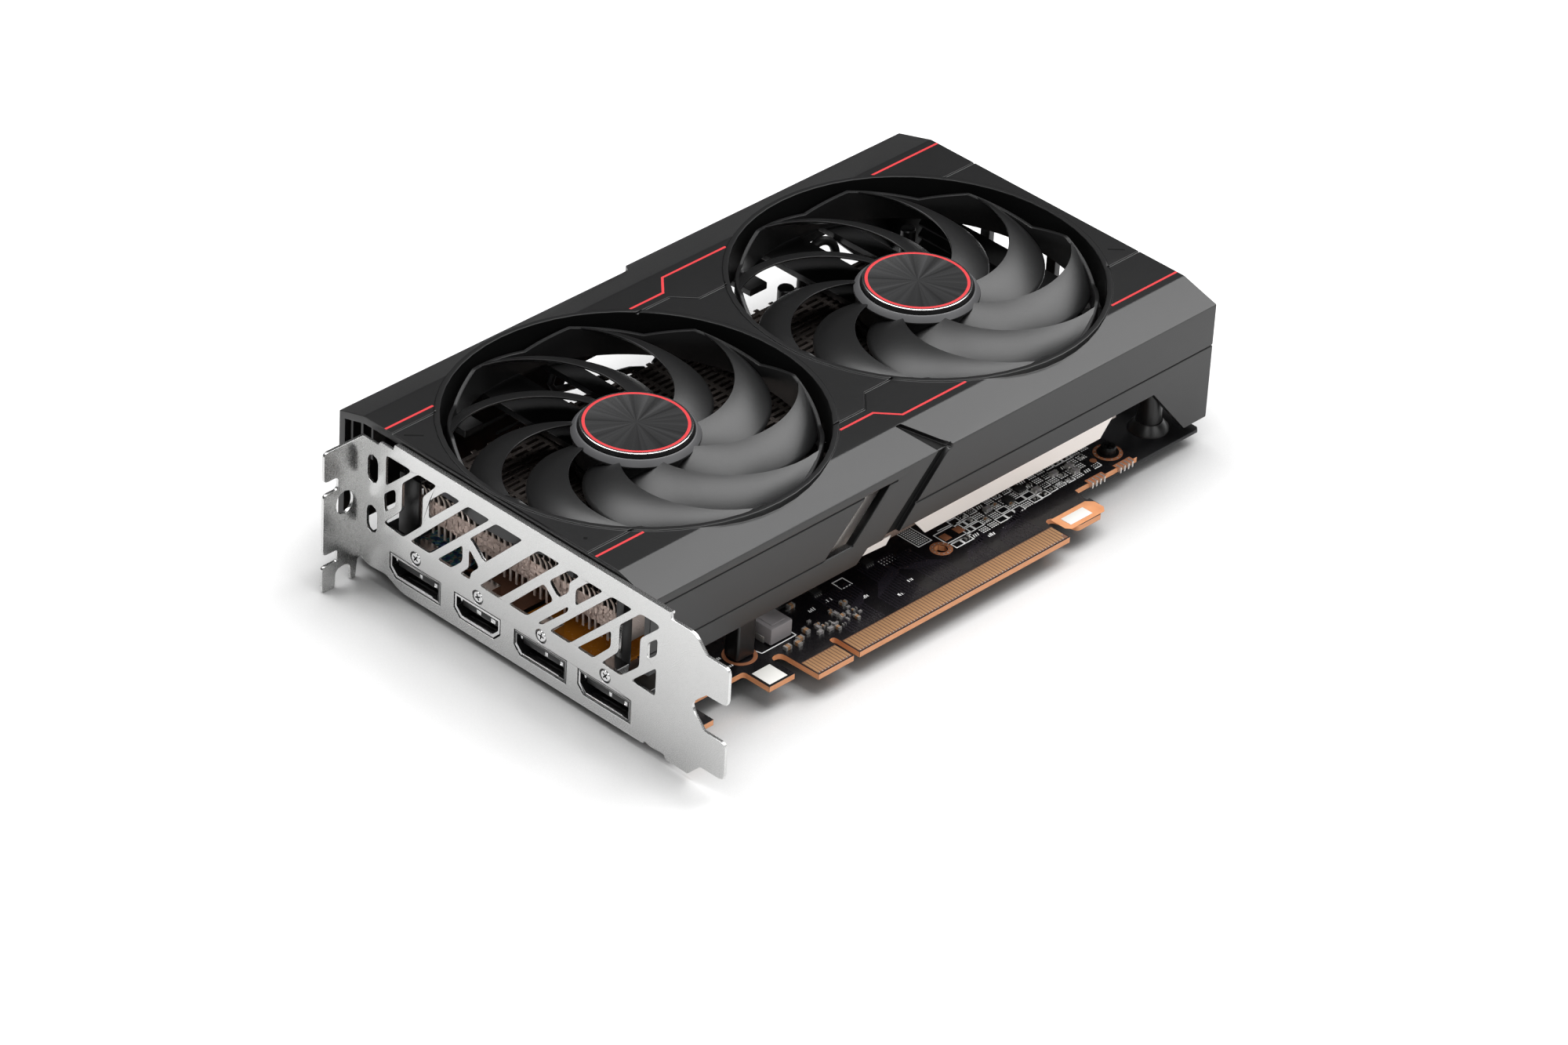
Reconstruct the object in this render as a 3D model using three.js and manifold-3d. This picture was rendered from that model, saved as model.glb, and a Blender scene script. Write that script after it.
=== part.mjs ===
// Compact dual-fan, dual-slot graphics card, as an assembly of separate pieces.
// Units are millimetres and +Z points up, out of the fans.
// X = 0 is the outer face of the steel bracket and +X runs along the card.
// Y = 0 is the bottom edge of the edge connector and +Y runs to the card's top edge.
// Z = 0 is the back face of the circuit board.
import * as THREE from 'three';
import { mergeVertices } from 'three/addons/utils/BufferGeometryUtils.js';
import Module from 'manifold-3d';

const wasm = await Module();
wasm.setup();

// ---- Driving dimensions -------------------------------------------------
const GAP = 0.3;                    // clearance between separate pieces

const BOARD_THICK = 1.57;
const BOARD_START = 2.0;
const BOARD_END = 167.5;
const BOARD_TOP_EDGE = 106.0;
const PART_BASE = BOARD_THICK + GAP;

const COVER_START = 1.8;
const COVER_END = 192.6;
const COVER_TOP = 37.5;
const COVER_WALL = 2.0;
const COVER_NEAR = 13.0;            // outer face of the wall over the edge connector
const COVER_FAR = 118.8;
const FACET_NEAR = { y: 23.8, z: 34.4 };
const FACET_FAR = { y: 108.0, z: 34.5 };
const STEP_X = 98.0;                // the far wall steps outwards here
const STEP_DEPTH = 2.6;
const LEFT_SKIRT = 14.0;            // bottom of the near wall beside the bracket
const RIGHT_SKIRT = 17.1;
const END_SKIRT = 2.2;
const FAR_SKIRT = { left: 3.0, right: 16.5 };   // bottom of the far wall, before and after X = 76

const FAN_CENTRES = { left: 48.9, right: 143.55 };
const FAN_Y = 65.9;
const BORE_RADIUS = 45.6;
const RIM_RADIUS = 47.0;
const RIM_TOP = 37.8;
const DUCT_BOTTOM = 26.7;

const BLADE_COUNT = 9;
const BLADE_FIRST_TIP = 27;         // degrees, leading tip of the first blade
const HUB_RADIUS = 15.4;
const HUB_TOP = 35.2;
const RING_INNER = 42.8;
const RING_OUTER = 43.9;
const RING_BOTTOM = 27.6;
const BLADE_TOP = 36.0;
const BLADE_SWEEP = 54;             // degrees the leading edge trails from tip to hub

const FINS = { x0: 8, x1: 164, y0: 17.6, y1: 94, z0: 12.0, z1: 24.0 };
const FIN_PITCH = 2.0;
const FIN_THICK = 0.4;
const APRON_BOTTOM = 8.4;           // the outermost fin hangs down to here over the board

const CHIP_X = 83;
const CHIP_Y = 62;

const BRACKET_THICK = 0.86;
const FLANGE_END = 1.5;             // the bracket's top edge folds in this far
const PORT_PITCH = 20.95;
const FIRST_PORT_Y = 24.9;
const PORT_FLOOR = 0.3;
const PORT_HEIGHT = 5.9;
const PORT_HALF_WIDTH = { displayport: 8.4, hdmi: 7.5 };
const PORT_DEPTH = 13.5;
const PORT_WALL = 0.55;
const PORT_SCREW_Z = 8.8;

const CHOKE_SIZE = 10;
const MEMORY_CHIP = { width: 12, length: 14, top: 2.97 };

// ---- Finishes -----------------------------------------------------------
const FINISHES = {
  plastic: { color: 0x202122, roughness: 0.45, metalness: 0 },
  fan: { color: 0x242526, roughness: 0.55, metalness: 0 },
  steel: { color: 0xd6d6d4, roughness: 0.3, metalness: 1 },
  darkSteel: { color: 0x26282a, roughness: 0.4, metalness: 0.6 },
  aluminium: { color: 0xc9c2bd, roughness: 0.35, metalness: 1 },
  copper: { color: 0xc98a5e, roughness: 0.35, metalness: 1 },
  board: { color: 0x17181b, roughness: 0.5, metalness: 0 },
  chip: { color: 0x1b1b1d, roughness: 0.6, metalness: 0 },
  silicon: { color: 0x8f9298, roughness: 0.15, metalness: 0.6 },
  ferrite: { color: 0x77757a, roughness: 0.7, metalness: 0 },
  label: { color: 0x141414, roughness: 0.3, metalness: 0 },
};

// ---- Geometry helpers ---------------------------------------------------
// Drops triangles whose corners fell together when shared vertices were merged.
function withoutSlivers(index) {
  const kept = [];
  for (let i = 0; i < index.length; i += 3) {
    const [a, b, c] = [index[i], index[i + 1], index[i + 2]];
    if (a !== b && b !== c && c !== a) kept.push(a, b, c);
  }
  return kept;
}

function toSolid(geometry) {
  const bare = geometry.index ? geometry.toNonIndexed() : geometry.clone();
  bare.deleteAttribute('normal');
  bare.deleteAttribute('uv');
  const merged = mergeVertices(bare, 1e-4);
  const vertProperties = Float32Array.from(merged.attributes.position.array);
  const triVerts = Uint32Array.from(withoutSlivers(merged.index.array));
  return new wasm.Manifold(new wasm.Mesh({ numProp: 3, vertProperties, triVerts }));
}

function toGeometry(solid) {
  const mesh = solid.getMesh();
  const geometry = new THREE.BufferGeometry();
  geometry.setAttribute('position', new THREE.BufferAttribute(mesh.vertProperties, 3));
  geometry.setIndex(new THREE.BufferAttribute(mesh.triVerts, 1));
  geometry.computeVertexNormals();
  return geometry;
}

function join(...solids) {
  return solids.reduce((whole, next) => whole.add(next));
}

function cut(body, ...tools) {
  return tools.reduce((rest, tool) => rest.subtract(tool), body);
}

// Points are [u, v] or [u, v, r], where r rounds that corner.
function tracePath(path, points) {
  const count = points.length;
  const toward = (from, to, distance) => {
    const direction = to.clone().sub(from);
    const reach = Math.min(distance, direction.length() * 0.49);
    return from.clone().add(direction.setLength(reach));
  };
  for (let i = 0; i < count; i += 1) {
    const corner = new THREE.Vector2(points[i][0], points[i][1]);
    const before = new THREE.Vector2(...points[(i + count - 1) % count]);
    const after = new THREE.Vector2(...points[(i + 1) % count]);
    const radius = points[i][2] || 0;
    const entry = radius ? toward(corner, before, radius) : corner;
    const exit = radius ? toward(corner, after, radius) : corner;
    if (i === 0) path.moveTo(entry.x, entry.y);
    else path.lineTo(entry.x, entry.y);
    if (radius) path.quadraticCurveTo(corner.x, corner.y, exit.x, exit.y);
  }
  path.closePath();
  return path;
}

// An outline runs anticlockwise, so that its holes can run either way.
function outline(points) {
  const clockwise = THREE.ShapeUtils.isClockWise(points.map(([u, v]) => ({ x: u, y: v })));
  return tracePath(new THREE.Shape(), clockwise ? [...points].reverse() : points);
}

const holePath = (points) => tracePath(new THREE.Path(), points);

// Turns an extrusion of a shape in (Y, Z) so that it runs along +X, and so on.
const PLANES = {
  xy: new THREE.Matrix4(),
  yz: new THREE.Matrix4().set(0, 0, 1, 0, 1, 0, 0, 0, 0, 1, 0, 0, 0, 0, 0, 1),
  xz: new THREE.Matrix4().set(1, 0, 0, 0, 0, 0, -1, 0, 0, 1, 0, 0, 0, 0, 0, 1),
};

function extrude(shape, plane, from, to, curveSegments = 3) {
  const depth = to - from;
  const geometry = new THREE.ExtrudeGeometry(shape, { depth, bevelEnabled: false, curveSegments });
  geometry.translate(0, 0, plane === 'xz' ? -to : from);
  geometry.applyMatrix4(PLANES[plane]);
  return toSolid(geometry);
}

const prism = (points, plane, from, to) => extrude(outline(points), plane, from, to);

function box(x0, x1, y0, y1, z0, z1) {
  const geometry = new THREE.BoxGeometry(x1 - x0, y1 - y0, z1 - z0);
  geometry.translate((x0 + x1) / 2, (y0 + y1) / 2, (z0 + z1) / 2);
  return toSolid(geometry);
}

function cylinder(x, y, z0, z1, radius, segments = 24, topRadius = radius) {
  const geometry = new THREE.CylinderGeometry(topRadius, radius, z1 - z0, segments);
  geometry.rotateX(Math.PI / 2);
  geometry.translate(x, y, (z0 + z1) / 2);
  return toSolid(geometry);
}

function cylinderAlongX(y, z, x0, x1, radius, segments) {
  const geometry = new THREE.CylinderGeometry(radius, radius, x1 - x0, segments);
  geometry.rotateZ(Math.PI / 2);
  geometry.translate((x0 + x1) / 2, y, z);
  return toSolid(geometry);
}

// Profile points are [radius, z]; the profile closes on itself or starts and ends on the axis.
function turned(x, y, profile, segments = 32) {
  const points = profile.map(([radius, z]) => new THREE.Vector2(radius, z));
  const geometry = new THREE.LatheGeometry(points, segments);
  geometry.rotateX(Math.PI / 2);
  geometry.translate(x, y, 0);
  return toSolid(geometry);
}

const ring = (x, y, inner, outer, z0, z1, segments) =>
  turned(x, y, [[inner, z0], [outer, z0], [outer, z1], [inner, z1], [inner, z0]], segments);

function tube(points, width, height, sides, steps) {
  const section = new THREE.Shape();
  section.absellipse(0, 0, width / 2, height / 2, 0, Math.PI * 2);
  const curve = new THREE.CatmullRomCurve3(points.map((p) => new THREE.Vector3(...p)));
  const options = { extrudePath: curve, steps, curveSegments: sides, bevelEnabled: false };
  return toSolid(new THREE.ExtrudeGeometry(section, options));
}

const card = new THREE.Group();

function place(name, finish, solid) {
  const material = new THREE.MeshStandardMaterial(FINISHES[finish]);
  const mesh = new THREE.Mesh(toGeometry(solid), material);
  mesh.name = name;
  card.add(mesh);
}

// ---- Plastic cover --------------------------------------------------------
function coverProfile(inset, bottom) {
  const near = COVER_NEAR + inset;
  const far = COVER_FAR - inset;
  const top = COVER_TOP - inset;
  const shoulder = inset * 0.75;
  return [
    [near, bottom],
    [near, FACET_NEAR.z - shoulder],
    [FACET_NEAR.y + inset * 0.15, top],
    [FACET_FAR.y - inset * 0.15, top],
    [far, FACET_FAR.z - shoulder],
    [far, bottom],
  ];
}

// The recessed arrow between the two halves of the cover, on the near wall and on its facet.
function arrowRecess() {
  const depth = 1.1;
  const wallPart = prism(
    [[95.6, 34.6], [100.2, 34.6], [88.6, 22.6], [83.0, 16.6], [77.4, 16.6]],
    'xz', COVER_NEAR - 1, COVER_NEAR + depth,
  );
  const run = FACET_NEAR.y - COVER_NEAR;
  const rise = COVER_TOP - FACET_NEAR.z;
  const slope = Math.atan2(rise, run);
  const length = Math.hypot(run, rise);
  const shape = outline([[95.6, -0.4], [100.2, -0.4], [93.4, length], [91.8, length]]);
  const geometry = new THREE.ExtrudeGeometry(shape, { depth: 3, bevelEnabled: false });
  geometry.translate(0, 0, -depth);
  geometry.rotateX(slope);
  geometry.translate(0, COVER_NEAR, FACET_NEAR.z);
  return join(wallPart, toSolid(geometry));
}

function coverWallCuts() {
  const outside = -5;
  const nearSkirt = prism([
    [outside, outside], [outside, LEFT_SKIRT], [69.5, LEFT_SKIRT], [73.0, RIGHT_SKIRT],
    [172.0, RIGHT_SKIRT], [184.6, END_SKIRT], [184.6, outside],
  ], 'xz', COVER_NEAR - 1, COVER_NEAR + COVER_WALL + 1);
  const farInside = COVER_FAR - COVER_WALL - STEP_DEPTH - 1;
  const farSkirt = prism([
    [outside, outside], [outside, FAR_SKIRT.left], [66.0, FAR_SKIRT.left], [76.0, FAR_SKIRT.right],
    [166.0, FAR_SKIRT.right], [181.0, END_SKIRT], [181.0, outside],
  ], 'xz', farInside, COVER_FAR + 1);
  const sideWindow = prism([[71.4, 32], [79.4, 32], [67.4, 20], [58.4, 20]],
    'xz', COVER_NEAR - 1, COVER_NEAR + COVER_WALL + 1);
  const farSlit = (x, z) => box(x, x + 10, farInside, COVER_FAR + 1, z, z + 0.8);
  return [nearSkirt, farSkirt, sideWindow, farSlit(46, 12), farSlit(51, 7.9)];
}

function coverGrooves() {
  const width = 0.4;
  const depth = 0.35;
  const wall = (x0, x1, z) => box(x0, x1, COVER_NEAR - 1, COVER_NEAR + depth, z, z + width);
  const line = (points) => {
    const half = width / 2;
    const upper = points.map(([x, y]) => [x, y + half]);
    const lower = points.map(([x, y]) => [x, y - half]).reverse();
    return prism([...upper, ...lower], 'xy', COVER_TOP - depth, COVER_TOP + 1);
  };
  const grooves = [wall(0, 82, 31.8), wall(0, 68, 19.8), wall(88.6, 195, 22.6)];
  for (const side of [-1, 1]) {
    const at = (offset) => FAN_Y + side * offset;
    grooves.push(line([[80, at(32.4)], [91.8, at(32.4)], [96.8, at(27.4)], [106, at(27.4)]]));
    grooves.push(line([[0, at(32.4)], [15.5, at(32.4)]]));
    grooves.push(line([[181, at(27.4)], [193, at(27.4)]]));
  }
  return grooves;
}

function coverEndVents() {
  const slots = [];
  for (let y = 22; y < 110; y += 11) {
    slots.push(prism([[y, 9, 1], [y + 8, 9, 1], [y + 8, 28, 1], [y, 28, 1]],
      'yz', COVER_END - COVER_WALL - 1, COVER_END + 1));
  }
  return slots;
}

function cover() {
  const outer = prism(coverProfile(0, END_SKIRT), 'yz', COVER_START, COVER_END);
  const inner = prism(coverProfile(COVER_WALL, -5), 'yz', COVER_START - 5, COVER_END - COVER_WALL);
  const stepCut = prism([
    [-5, COVER_FAR - STEP_DEPTH], [STEP_X - STEP_DEPTH, COVER_FAR - STEP_DEPTH],
    [STEP_X, COVER_FAR + 1], [-5, COVER_FAR + 1],
  ], 'xy', -5, COVER_TOP + 1);
  const farWall = COVER_FAR - STEP_DEPTH;
  const stepWall = box(COVER_START, STEP_X, farWall - COVER_WALL, farWall, END_SKIRT, 33.6);
  let body = cut(join(cut(outer, inner), stepWall), stepCut);
  body = cut(body, ...coverWallCuts(), ...coverEndVents());
  for (const x of Object.values(FAN_CENTRES)) {
    body = join(body, cylinder(x, FAN_Y, DUCT_BOTTOM, RIM_TOP, RIM_RADIUS, 56));
  }
  for (const x of Object.values(FAN_CENTRES)) {
    body = cut(body, cylinder(x, FAN_Y, 0, RIM_TOP + 5, BORE_RADIUS, 56));
  }
  for (const y of [105.5, 109, 112.5]) {
    body = join(body, box(COVER_START + 1, COVER_START + 5, y, y + 0.9, 26, 35.7));
  }
  return cut(body, ...coverGrooves(), arrowRecess());
}

// ---- Bracket --------------------------------------------------------------
const BRACKET_OUTLINE = [
  [106.3, 0.2], [103.5, -1.0, 1], [97.5, -0.6, 1], [92.5, -3.0, 2], [12.0, -3.0], [11.4, -2.0, 0.5],
  [10.6, -2.6, 0.5], [5.2, -2.6], [4.8, -3.6, 0.5], [-2.3, -3.7], [-6.2, 0.2], [-13.7, 0.2, 1.6],
  [-13.7, 10.4, 1.6], [-6.8, 10.4], [-2.7, 14.6, 2], [-2.7, 16.4, 2], [-7.0, 20.4], [-13.7, 20.5, 1.6],
  [-13.7, 30.7, 1.6], [-6.4, 30.8], [-2.7, 34.9, 2], [5.0, 34.9], [5.2, 36.4], [95.5, 36.4],
  [96.0, 34.9], [100.4, 34.9], [101.0, 33.8], [106.3, 33.8],
];

// Vent openings as [y, z] corners; the bars between them lie at 45 degrees.
const VENTS = [
  [[98.3, 32.3], [90.3, 32.3], [90.3, 31.4], [98.3, 23.8]],
  [[98.8, 21.3], [95.5, 24.2], [94.8, 23.8], [94.8, 19.9], [98.3, 16.5]],
  [[98.8, 13.3], [92, 12.7], [85.8, 19], [85.8, 27], [81.3, 32.3], [87.5, 32.3], [92.7, 27.3],
    [92.7, 19.7]],
  [[83.6, 22], [83.6, 27], [78.5, 32.1], [73.5, 32]],
  [[89.6, 12.7], [83, 12.7], [63.6, 31.9], [70.8, 31.9]],
  [[80.4, 12.4], [75.8, 12.4], [72.2, 16], [72.2, 20.5]],
  [[72.9, 12.3], [70, 15.4], [70, 20.6], [66.6, 17.2], [69.4, 14.2], [69.4, 12.3]],
  [[70, 23.4], [61.5, 31.8], [52.8, 31.8], [64.9, 19.4], [68.9, 23.0]],
  [[66.3, 12.3], [59.7, 12.3], [40.6, 31.6], [47.5, 31.6]],
  [[56.6, 12.1], [50.6, 12.1], [42.2, 20.6], [45.4, 23.6]],
  [[40.6, 22.2], [37.4, 25.4], [37.4, 28], [34.2, 31.4], [37.4, 31.4], [43.8, 25.2]],
  [[46.9, 12.0], [37.4, 21.5], [37.4, 20.1], [45.8, 12.0]],
  [[35.2, 22.8], [35.2, 27.2], [31.3, 31.2], [26.6, 31.2]],
  [[43.1, 11.8], [36.7, 11.7], [17.2, 31.2], [23.8, 31.2]],
  [[34.1, 11.8], [29, 11.7], [23.5, 17.5], [23.5, 22]],
  [[26.2, 11.8], [19.9, 11.6], [14.3, 17], [14.3, 24.8], [8.4, 30.6], [9.2, 31.3], [14.5, 31.3],
    [20.9, 25], [20.9, 17.6]],
  [[11.9, 20.2], [11.9, 24.7], [8.9, 27.4], [8.9, 23]],
  [[16.7, 11.9], [8.9, 11.7], [8.9, 19.4]],
];

function portOutline(kind, y, clearance) {
  const half = PORT_HALF_WIDTH[kind] + clearance;
  const floor = PORT_FLOOR - clearance;
  const roof = PORT_FLOOR + PORT_HEIGHT + clearance;
  const chamfer = 2.1;
  const left = kind === 'hdmi' ? [[y - half, floor + chamfer], [y - half + chamfer, floor]]
    : [[y - half, floor]];
  return [...left, [y + half - chamfer, floor], [y + half, floor + chamfer], [y + half, roof],
    [y - half, roof]];
}

const PORTS = ['displayport_1', 'displayport_2', 'hdmi_port', 'displayport_3'].map((name, i) => ({
  name,
  kind: name.startsWith('hdmi') ? 'hdmi' : 'displayport',
  y: FIRST_PORT_Y + i * PORT_PITCH,
}));

function slotPath(y0, y1, z0, z1) {
  const radius = (y1 - y0) / 2;
  const path = new THREE.Path();
  path.absarc(y0 + radius, z1 - radius, radius, 0, Math.PI);
  path.absarc(y0 + radius, z0 + radius, radius, Math.PI, Math.PI * 2);
  path.closePath();
  return path;
}

function bracket() {
  const face = outline(BRACKET_OUTLINE);
  for (const vent of VENTS) {
    face.holes.push(holePath(vent.map(([y, z]) => [y, z, 0.9])));
  }
  face.holes.push(slotPath(100.9, 104.4, 22.6, 30.2));
  face.holes.push(slotPath(100.9, 104.4, 8.7, 16.2));
  const portCuts = PORTS.map((port) => prism(portOutline(port.kind, port.y, GAP), 'yz', -1, 2));
  const screwCuts = PORTS.map((port) => cylinderAlongX(port.y, PORT_SCREW_Z, -1, 2, 1.85, 16));
  const plate = cut(extrude(face, 'yz', 0, BRACKET_THICK, 2), ...portCuts, ...screwCuts);
  const tabOuter = 107.0;
  const tab = outline([
    [BRACKET_THICK, 33.8], [-12.0, 33.8, 1.4], [-12.0, 25.6, 1.2], [-7.5, 25.6, 1], [-7.5, 22.2, 1],
    [-12.0, 22.2, 1.4], [-12.0, 5.3, 1.2], [-7.5, 5.3, 0.6], [-7.5, 2.2, 0.6], [-12.2, 2.2, 1.2],
    [-12.2, -5.0, 1.8], [-8.0, -5.0, 0.8], [-8.0, 0.0, 2], [-3.2, 0.0, 2], [-3.2, -5.0, 0.6],
    [-1.6, -5.0, 0.8], [-1.0, 0.2, 0.6], [BRACKET_THICK, 0.2],
  ]);
  tab.holes.push(slotPath(-8.0, -2.8, 14.6, 20.8));
  const tabPlate = extrude(tab, 'xz', tabOuter - BRACKET_THICK, tabOuter, 3);
  const flange = prism([
    [0, 34.9], [0, 36.4, 1.1], [FLANGE_END, 36.4], [FLANGE_END, 35.7], [BRACKET_THICK, 35.7],
    [BRACKET_THICK, 34.9],
  ], 'xz', 5.2, 95.5);
  return join(plate, tabPlate, flange);
}

// ---- Circuit board ---------------------------------------------------------
function board() {
  const portNotches = [];
  for (const port of PORTS) {
    const half = 9.2;
    portNotches.push([BOARD_START, port.y - half], [14.5, port.y - half],
      [14.5, port.y + half], [BOARD_START, port.y + half]);
  }
  const shape = outline([
    [BOARD_START, 3.5], ...portNotches, [BOARD_START, BOARD_TOP_EDGE], [BOARD_END, BOARD_TOP_EDGE],
    [BOARD_END, 12.8], [145.4, 12.8], [144.4, 8.2, 1], [145.5, 8.2], [145.5, 5.0], [142.5, 1.8],
    [134.6, 1.8, 1], [132.6, 8.6, 1.5], [129.9, 8.6, 1.5], [129.75, 0], [58.1, 0], [58.1, 8.3, 0.9],
    [56.2, 8.3, 0.9], [56.2, 0], [44.55, 0], [44.3, 12.2, 1.7], [40.8, 12.2, 1.7], [40.8, 4.0],
    [32.5, 4.0], [32.5, 12.3, 1], [14.0, 12.3, 1], [14.0, 3.5],
  ]);
  const hole = (x, y, r) => shape.holes.push(new THREE.Path().absarc(x, y, r, 0, Math.PI * 2));
  hole(103, 17, 1.65);
  hole(163.5, 18.7, 1.6);
  for (const [x, y] of chipScrewPlaces()) hole(x, y, 1.7);
  return extrude(shape, 'xy', 0, BOARD_THICK, 3);
}

function chipScrewPlaces() {
  const reach = 24;
  return [[-1, -1], [1, -1], [1, 1], [-1, 1]].map(([i, j]) => [CHIP_X + i * reach, CHIP_Y + j * reach]);
}

// ---- Backplate and the spring that pulls the cooler down ---------------------
function backplate() {
  const shape = outline([
    [14.5, 13.6, 2], [190.6, 13.6], [191.4, 14.4], [191.4, 116.0, 3], [99.0, 116.0], [96.6, 113.4],
    [2.2, 113.4, 3], [2.2, 34.0], [14.5, 22.0],
  ]);
  const half = 31;
  shape.holes.push(holePath([
    [CHIP_X - half, CHIP_Y - half, 4], [CHIP_X + half, CHIP_Y - half, 4],
    [CHIP_X + half, CHIP_Y + half, 4], [CHIP_X - half, CHIP_Y + half, 4],
  ]));
  for (let y = 34; y < 100; y += 9) {
    shape.holes.push(holePath([[171, y, 1], [186, y + 4, 1], [186, y + 9, 1], [171, y + 5, 1]]));
  }
  return extrude(shape, 'xy', -1.95, -0.9, 2);
}

function springPlate() {
  const arm = [[-13, -7, 3], [-27, -19], [-27, -27, 4], [-19, -27], [-7, -13, 3]];
  const points = [];
  for (let quarter = 0; quarter < 4; quarter += 1) {
    const [c, d] = [[1, 0], [0, 1], [-1, 0], [0, -1]][quarter];
    points.push(...arm.map(([x, y, r]) => [CHIP_X + x * c - y * d, CHIP_Y + x * d + y * c, r]));
  }
  const screwHoles = chipScrewPlaces().map(([x, y]) => cylinder(x, y, -3, 1, 1.6, 16));
  return cut(prism(points, 'xy', -1.1, -0.4), ...screwHoles);
}

function chipScrew(x, y) {
  return join(cylinder(x, y, -1.95, -1.2, 2.4, 12), cylinder(x, y, -1.3, 6.2, 1.2, 8));
}

// ---- Cooler -----------------------------------------------------------------
const PIPE_Y = [48, 60, 72];
const PIPE_Z = 9.4;

function coldPlate() {
  let plate = box(CHIP_X - 28, CHIP_X + 28, CHIP_Y - 28, CHIP_Y + 28, 3.9, 6.7);
  for (const [x, y] of chipScrewPlaces()) plate = cut(plate, cylinder(x, y, 0, 10, 1.6, 8));
  return plate;
}

function heatPipe(y) {
  const bend = (y - 60) * 0.9;
  const points = [[14, y + bend], [45, y + bend], [66, y], [100, y], [122, y + bend], [158, y + bend]];
  return tube(points.map(([x, py]) => [x, py, PIPE_Z]), 4.6, 7.4, 5, 13);
}

function finStack() {
  const web = 0.5;
  const profile = [[FINS.y0, FINS.z0]];
  const count = Math.floor((FINS.y1 - FINS.y0) / FIN_PITCH);
  const last = FINS.y0 + count * FIN_PITCH + FIN_THICK;
  profile.push([last, FINS.z0]);
  for (let i = count; i >= 0; i -= 1) {
    const y = FINS.y0 + i * FIN_PITCH;
    profile.push([y + FIN_THICK, FINS.z1], [y, FINS.z1]);
    if (i > 0) profile.push([y, FINS.z0 + web], [y - FIN_PITCH + FIN_THICK, FINS.z0 + web]);
  }
  const stack = prism(profile, 'yz', FINS.x0, FINS.x1);
  const cornerCut = box(FINS.x0 - 1, 46, FINS.y0 - 1, 27.0, FINS.z0 - 1, FINS.z1 + 1);
  const apron = prism([
    [93.5, FINS.z0 + 1], [97.5, APRON_BOTTOM], [158.5, APRON_BOTTOM], [162.5, FINS.z0 + 1],
  ], 'xz', FINS.y0, FINS.y0 + FIN_THICK);
  return join(cut(stack, cornerCut), apron);
}

// ---- Fans -------------------------------------------------------------------
const turn = (degrees) => (degrees * Math.PI) / 180;

// A blade is a lofted sheet: its leading edge is high and swept forward, its trailing edge low.
// Share u runs from hub to tip and v from the leading to the trailing edge; side 1 is underneath.
function bladePoint(centreX, tipAngle, u, v, side) {
  const thick = 1.1;
  const inner = HUB_RADIUS - 1.2;
  const outer = RING_INNER + 0.5;
  const radius = inner + (outer - inner) * u;
  const inward = Math.max(0, (RING_INNER - radius) / (RING_INNER - inner));
  const lead = tipAngle - 3 - BLADE_SWEEP * inward ** 0.81;
  const chord = 34 - 13 * u;
  const angle = turn(lead - chord * v);
  const leadHeight = BLADE_TOP - 1.62 * inward;
  const drop = 5.0 + 0.6 * u;
  const sag = drop * (0.55 * v + 0.45 * v * v);
  const z = leadHeight - sag - side * thick * (0.5 + 0.5 * Math.sin(Math.PI * v));
  return [centreX + radius * Math.cos(angle), FAN_Y + radius * Math.sin(angle), z];
}

function blade(centreX, tipAngle) {
  const rows = 5;
  const columns = 3;
  const at = (r, c, side) => bladePoint(centreX, tipAngle, r / rows, c / columns, side);
  const positions = [];
  const quad = (a, b, c, d) => positions.push(...a, ...b, ...c, ...a, ...c, ...d);
  for (let r = 0; r < rows; r += 1) {
    for (let c = 0; c < columns; c += 1) {
      quad(at(r, c, 0), at(r, c + 1, 0), at(r + 1, c + 1, 0), at(r + 1, c, 0));
      quad(at(r, c, 1), at(r + 1, c, 1), at(r + 1, c + 1, 1), at(r, c + 1, 1));
    }
    quad(at(r, 0, 0), at(r + 1, 0, 0), at(r + 1, 0, 1), at(r, 0, 1));
    quad(at(r, columns, 0), at(r, columns, 1), at(r + 1, columns, 1), at(r + 1, columns, 0));
  }
  for (let c = 0; c < columns; c += 1) {
    quad(at(0, c, 0), at(0, c, 1), at(0, c + 1, 1), at(0, c + 1, 0));
    quad(at(rows, c, 0), at(rows, c + 1, 0), at(rows, c + 1, 1), at(rows, c, 1));
  }
  const geometry = new THREE.BufferGeometry();
  geometry.setAttribute('position', new THREE.Float32BufferAttribute(positions, 3));
  return toSolid(geometry);
}

function rotor(x) {
  let body = turned(x, FAN_Y, [
    [0, HUB_TOP - 1.4], [13.2, HUB_TOP - 1.4], [13.2, DUCT_BOTTOM + 0.8], [HUB_RADIUS, DUCT_BOTTOM + 0.8],
    [HUB_RADIUS, HUB_TOP - 0.7], [HUB_RADIUS - 0.7, HUB_TOP], [0, HUB_TOP],
  ], 32);
  body = join(body, ring(x, FAN_Y, RING_INNER, RING_OUTER, RING_BOTTOM, BLADE_TOP - 1.6, 40));
  for (let i = 0; i < BLADE_COUNT; i += 1) {
    body = join(body, blade(x, BLADE_FIRST_TIP + (360 / BLADE_COUNT) * i));
  }
  return body;
}

function hubCap(x) {
  return turned(x, FAN_Y, [[0, HUB_TOP + GAP], [13.6, HUB_TOP + GAP], [12.9, 36.4], [0, 36.4]], 28);
}

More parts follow.
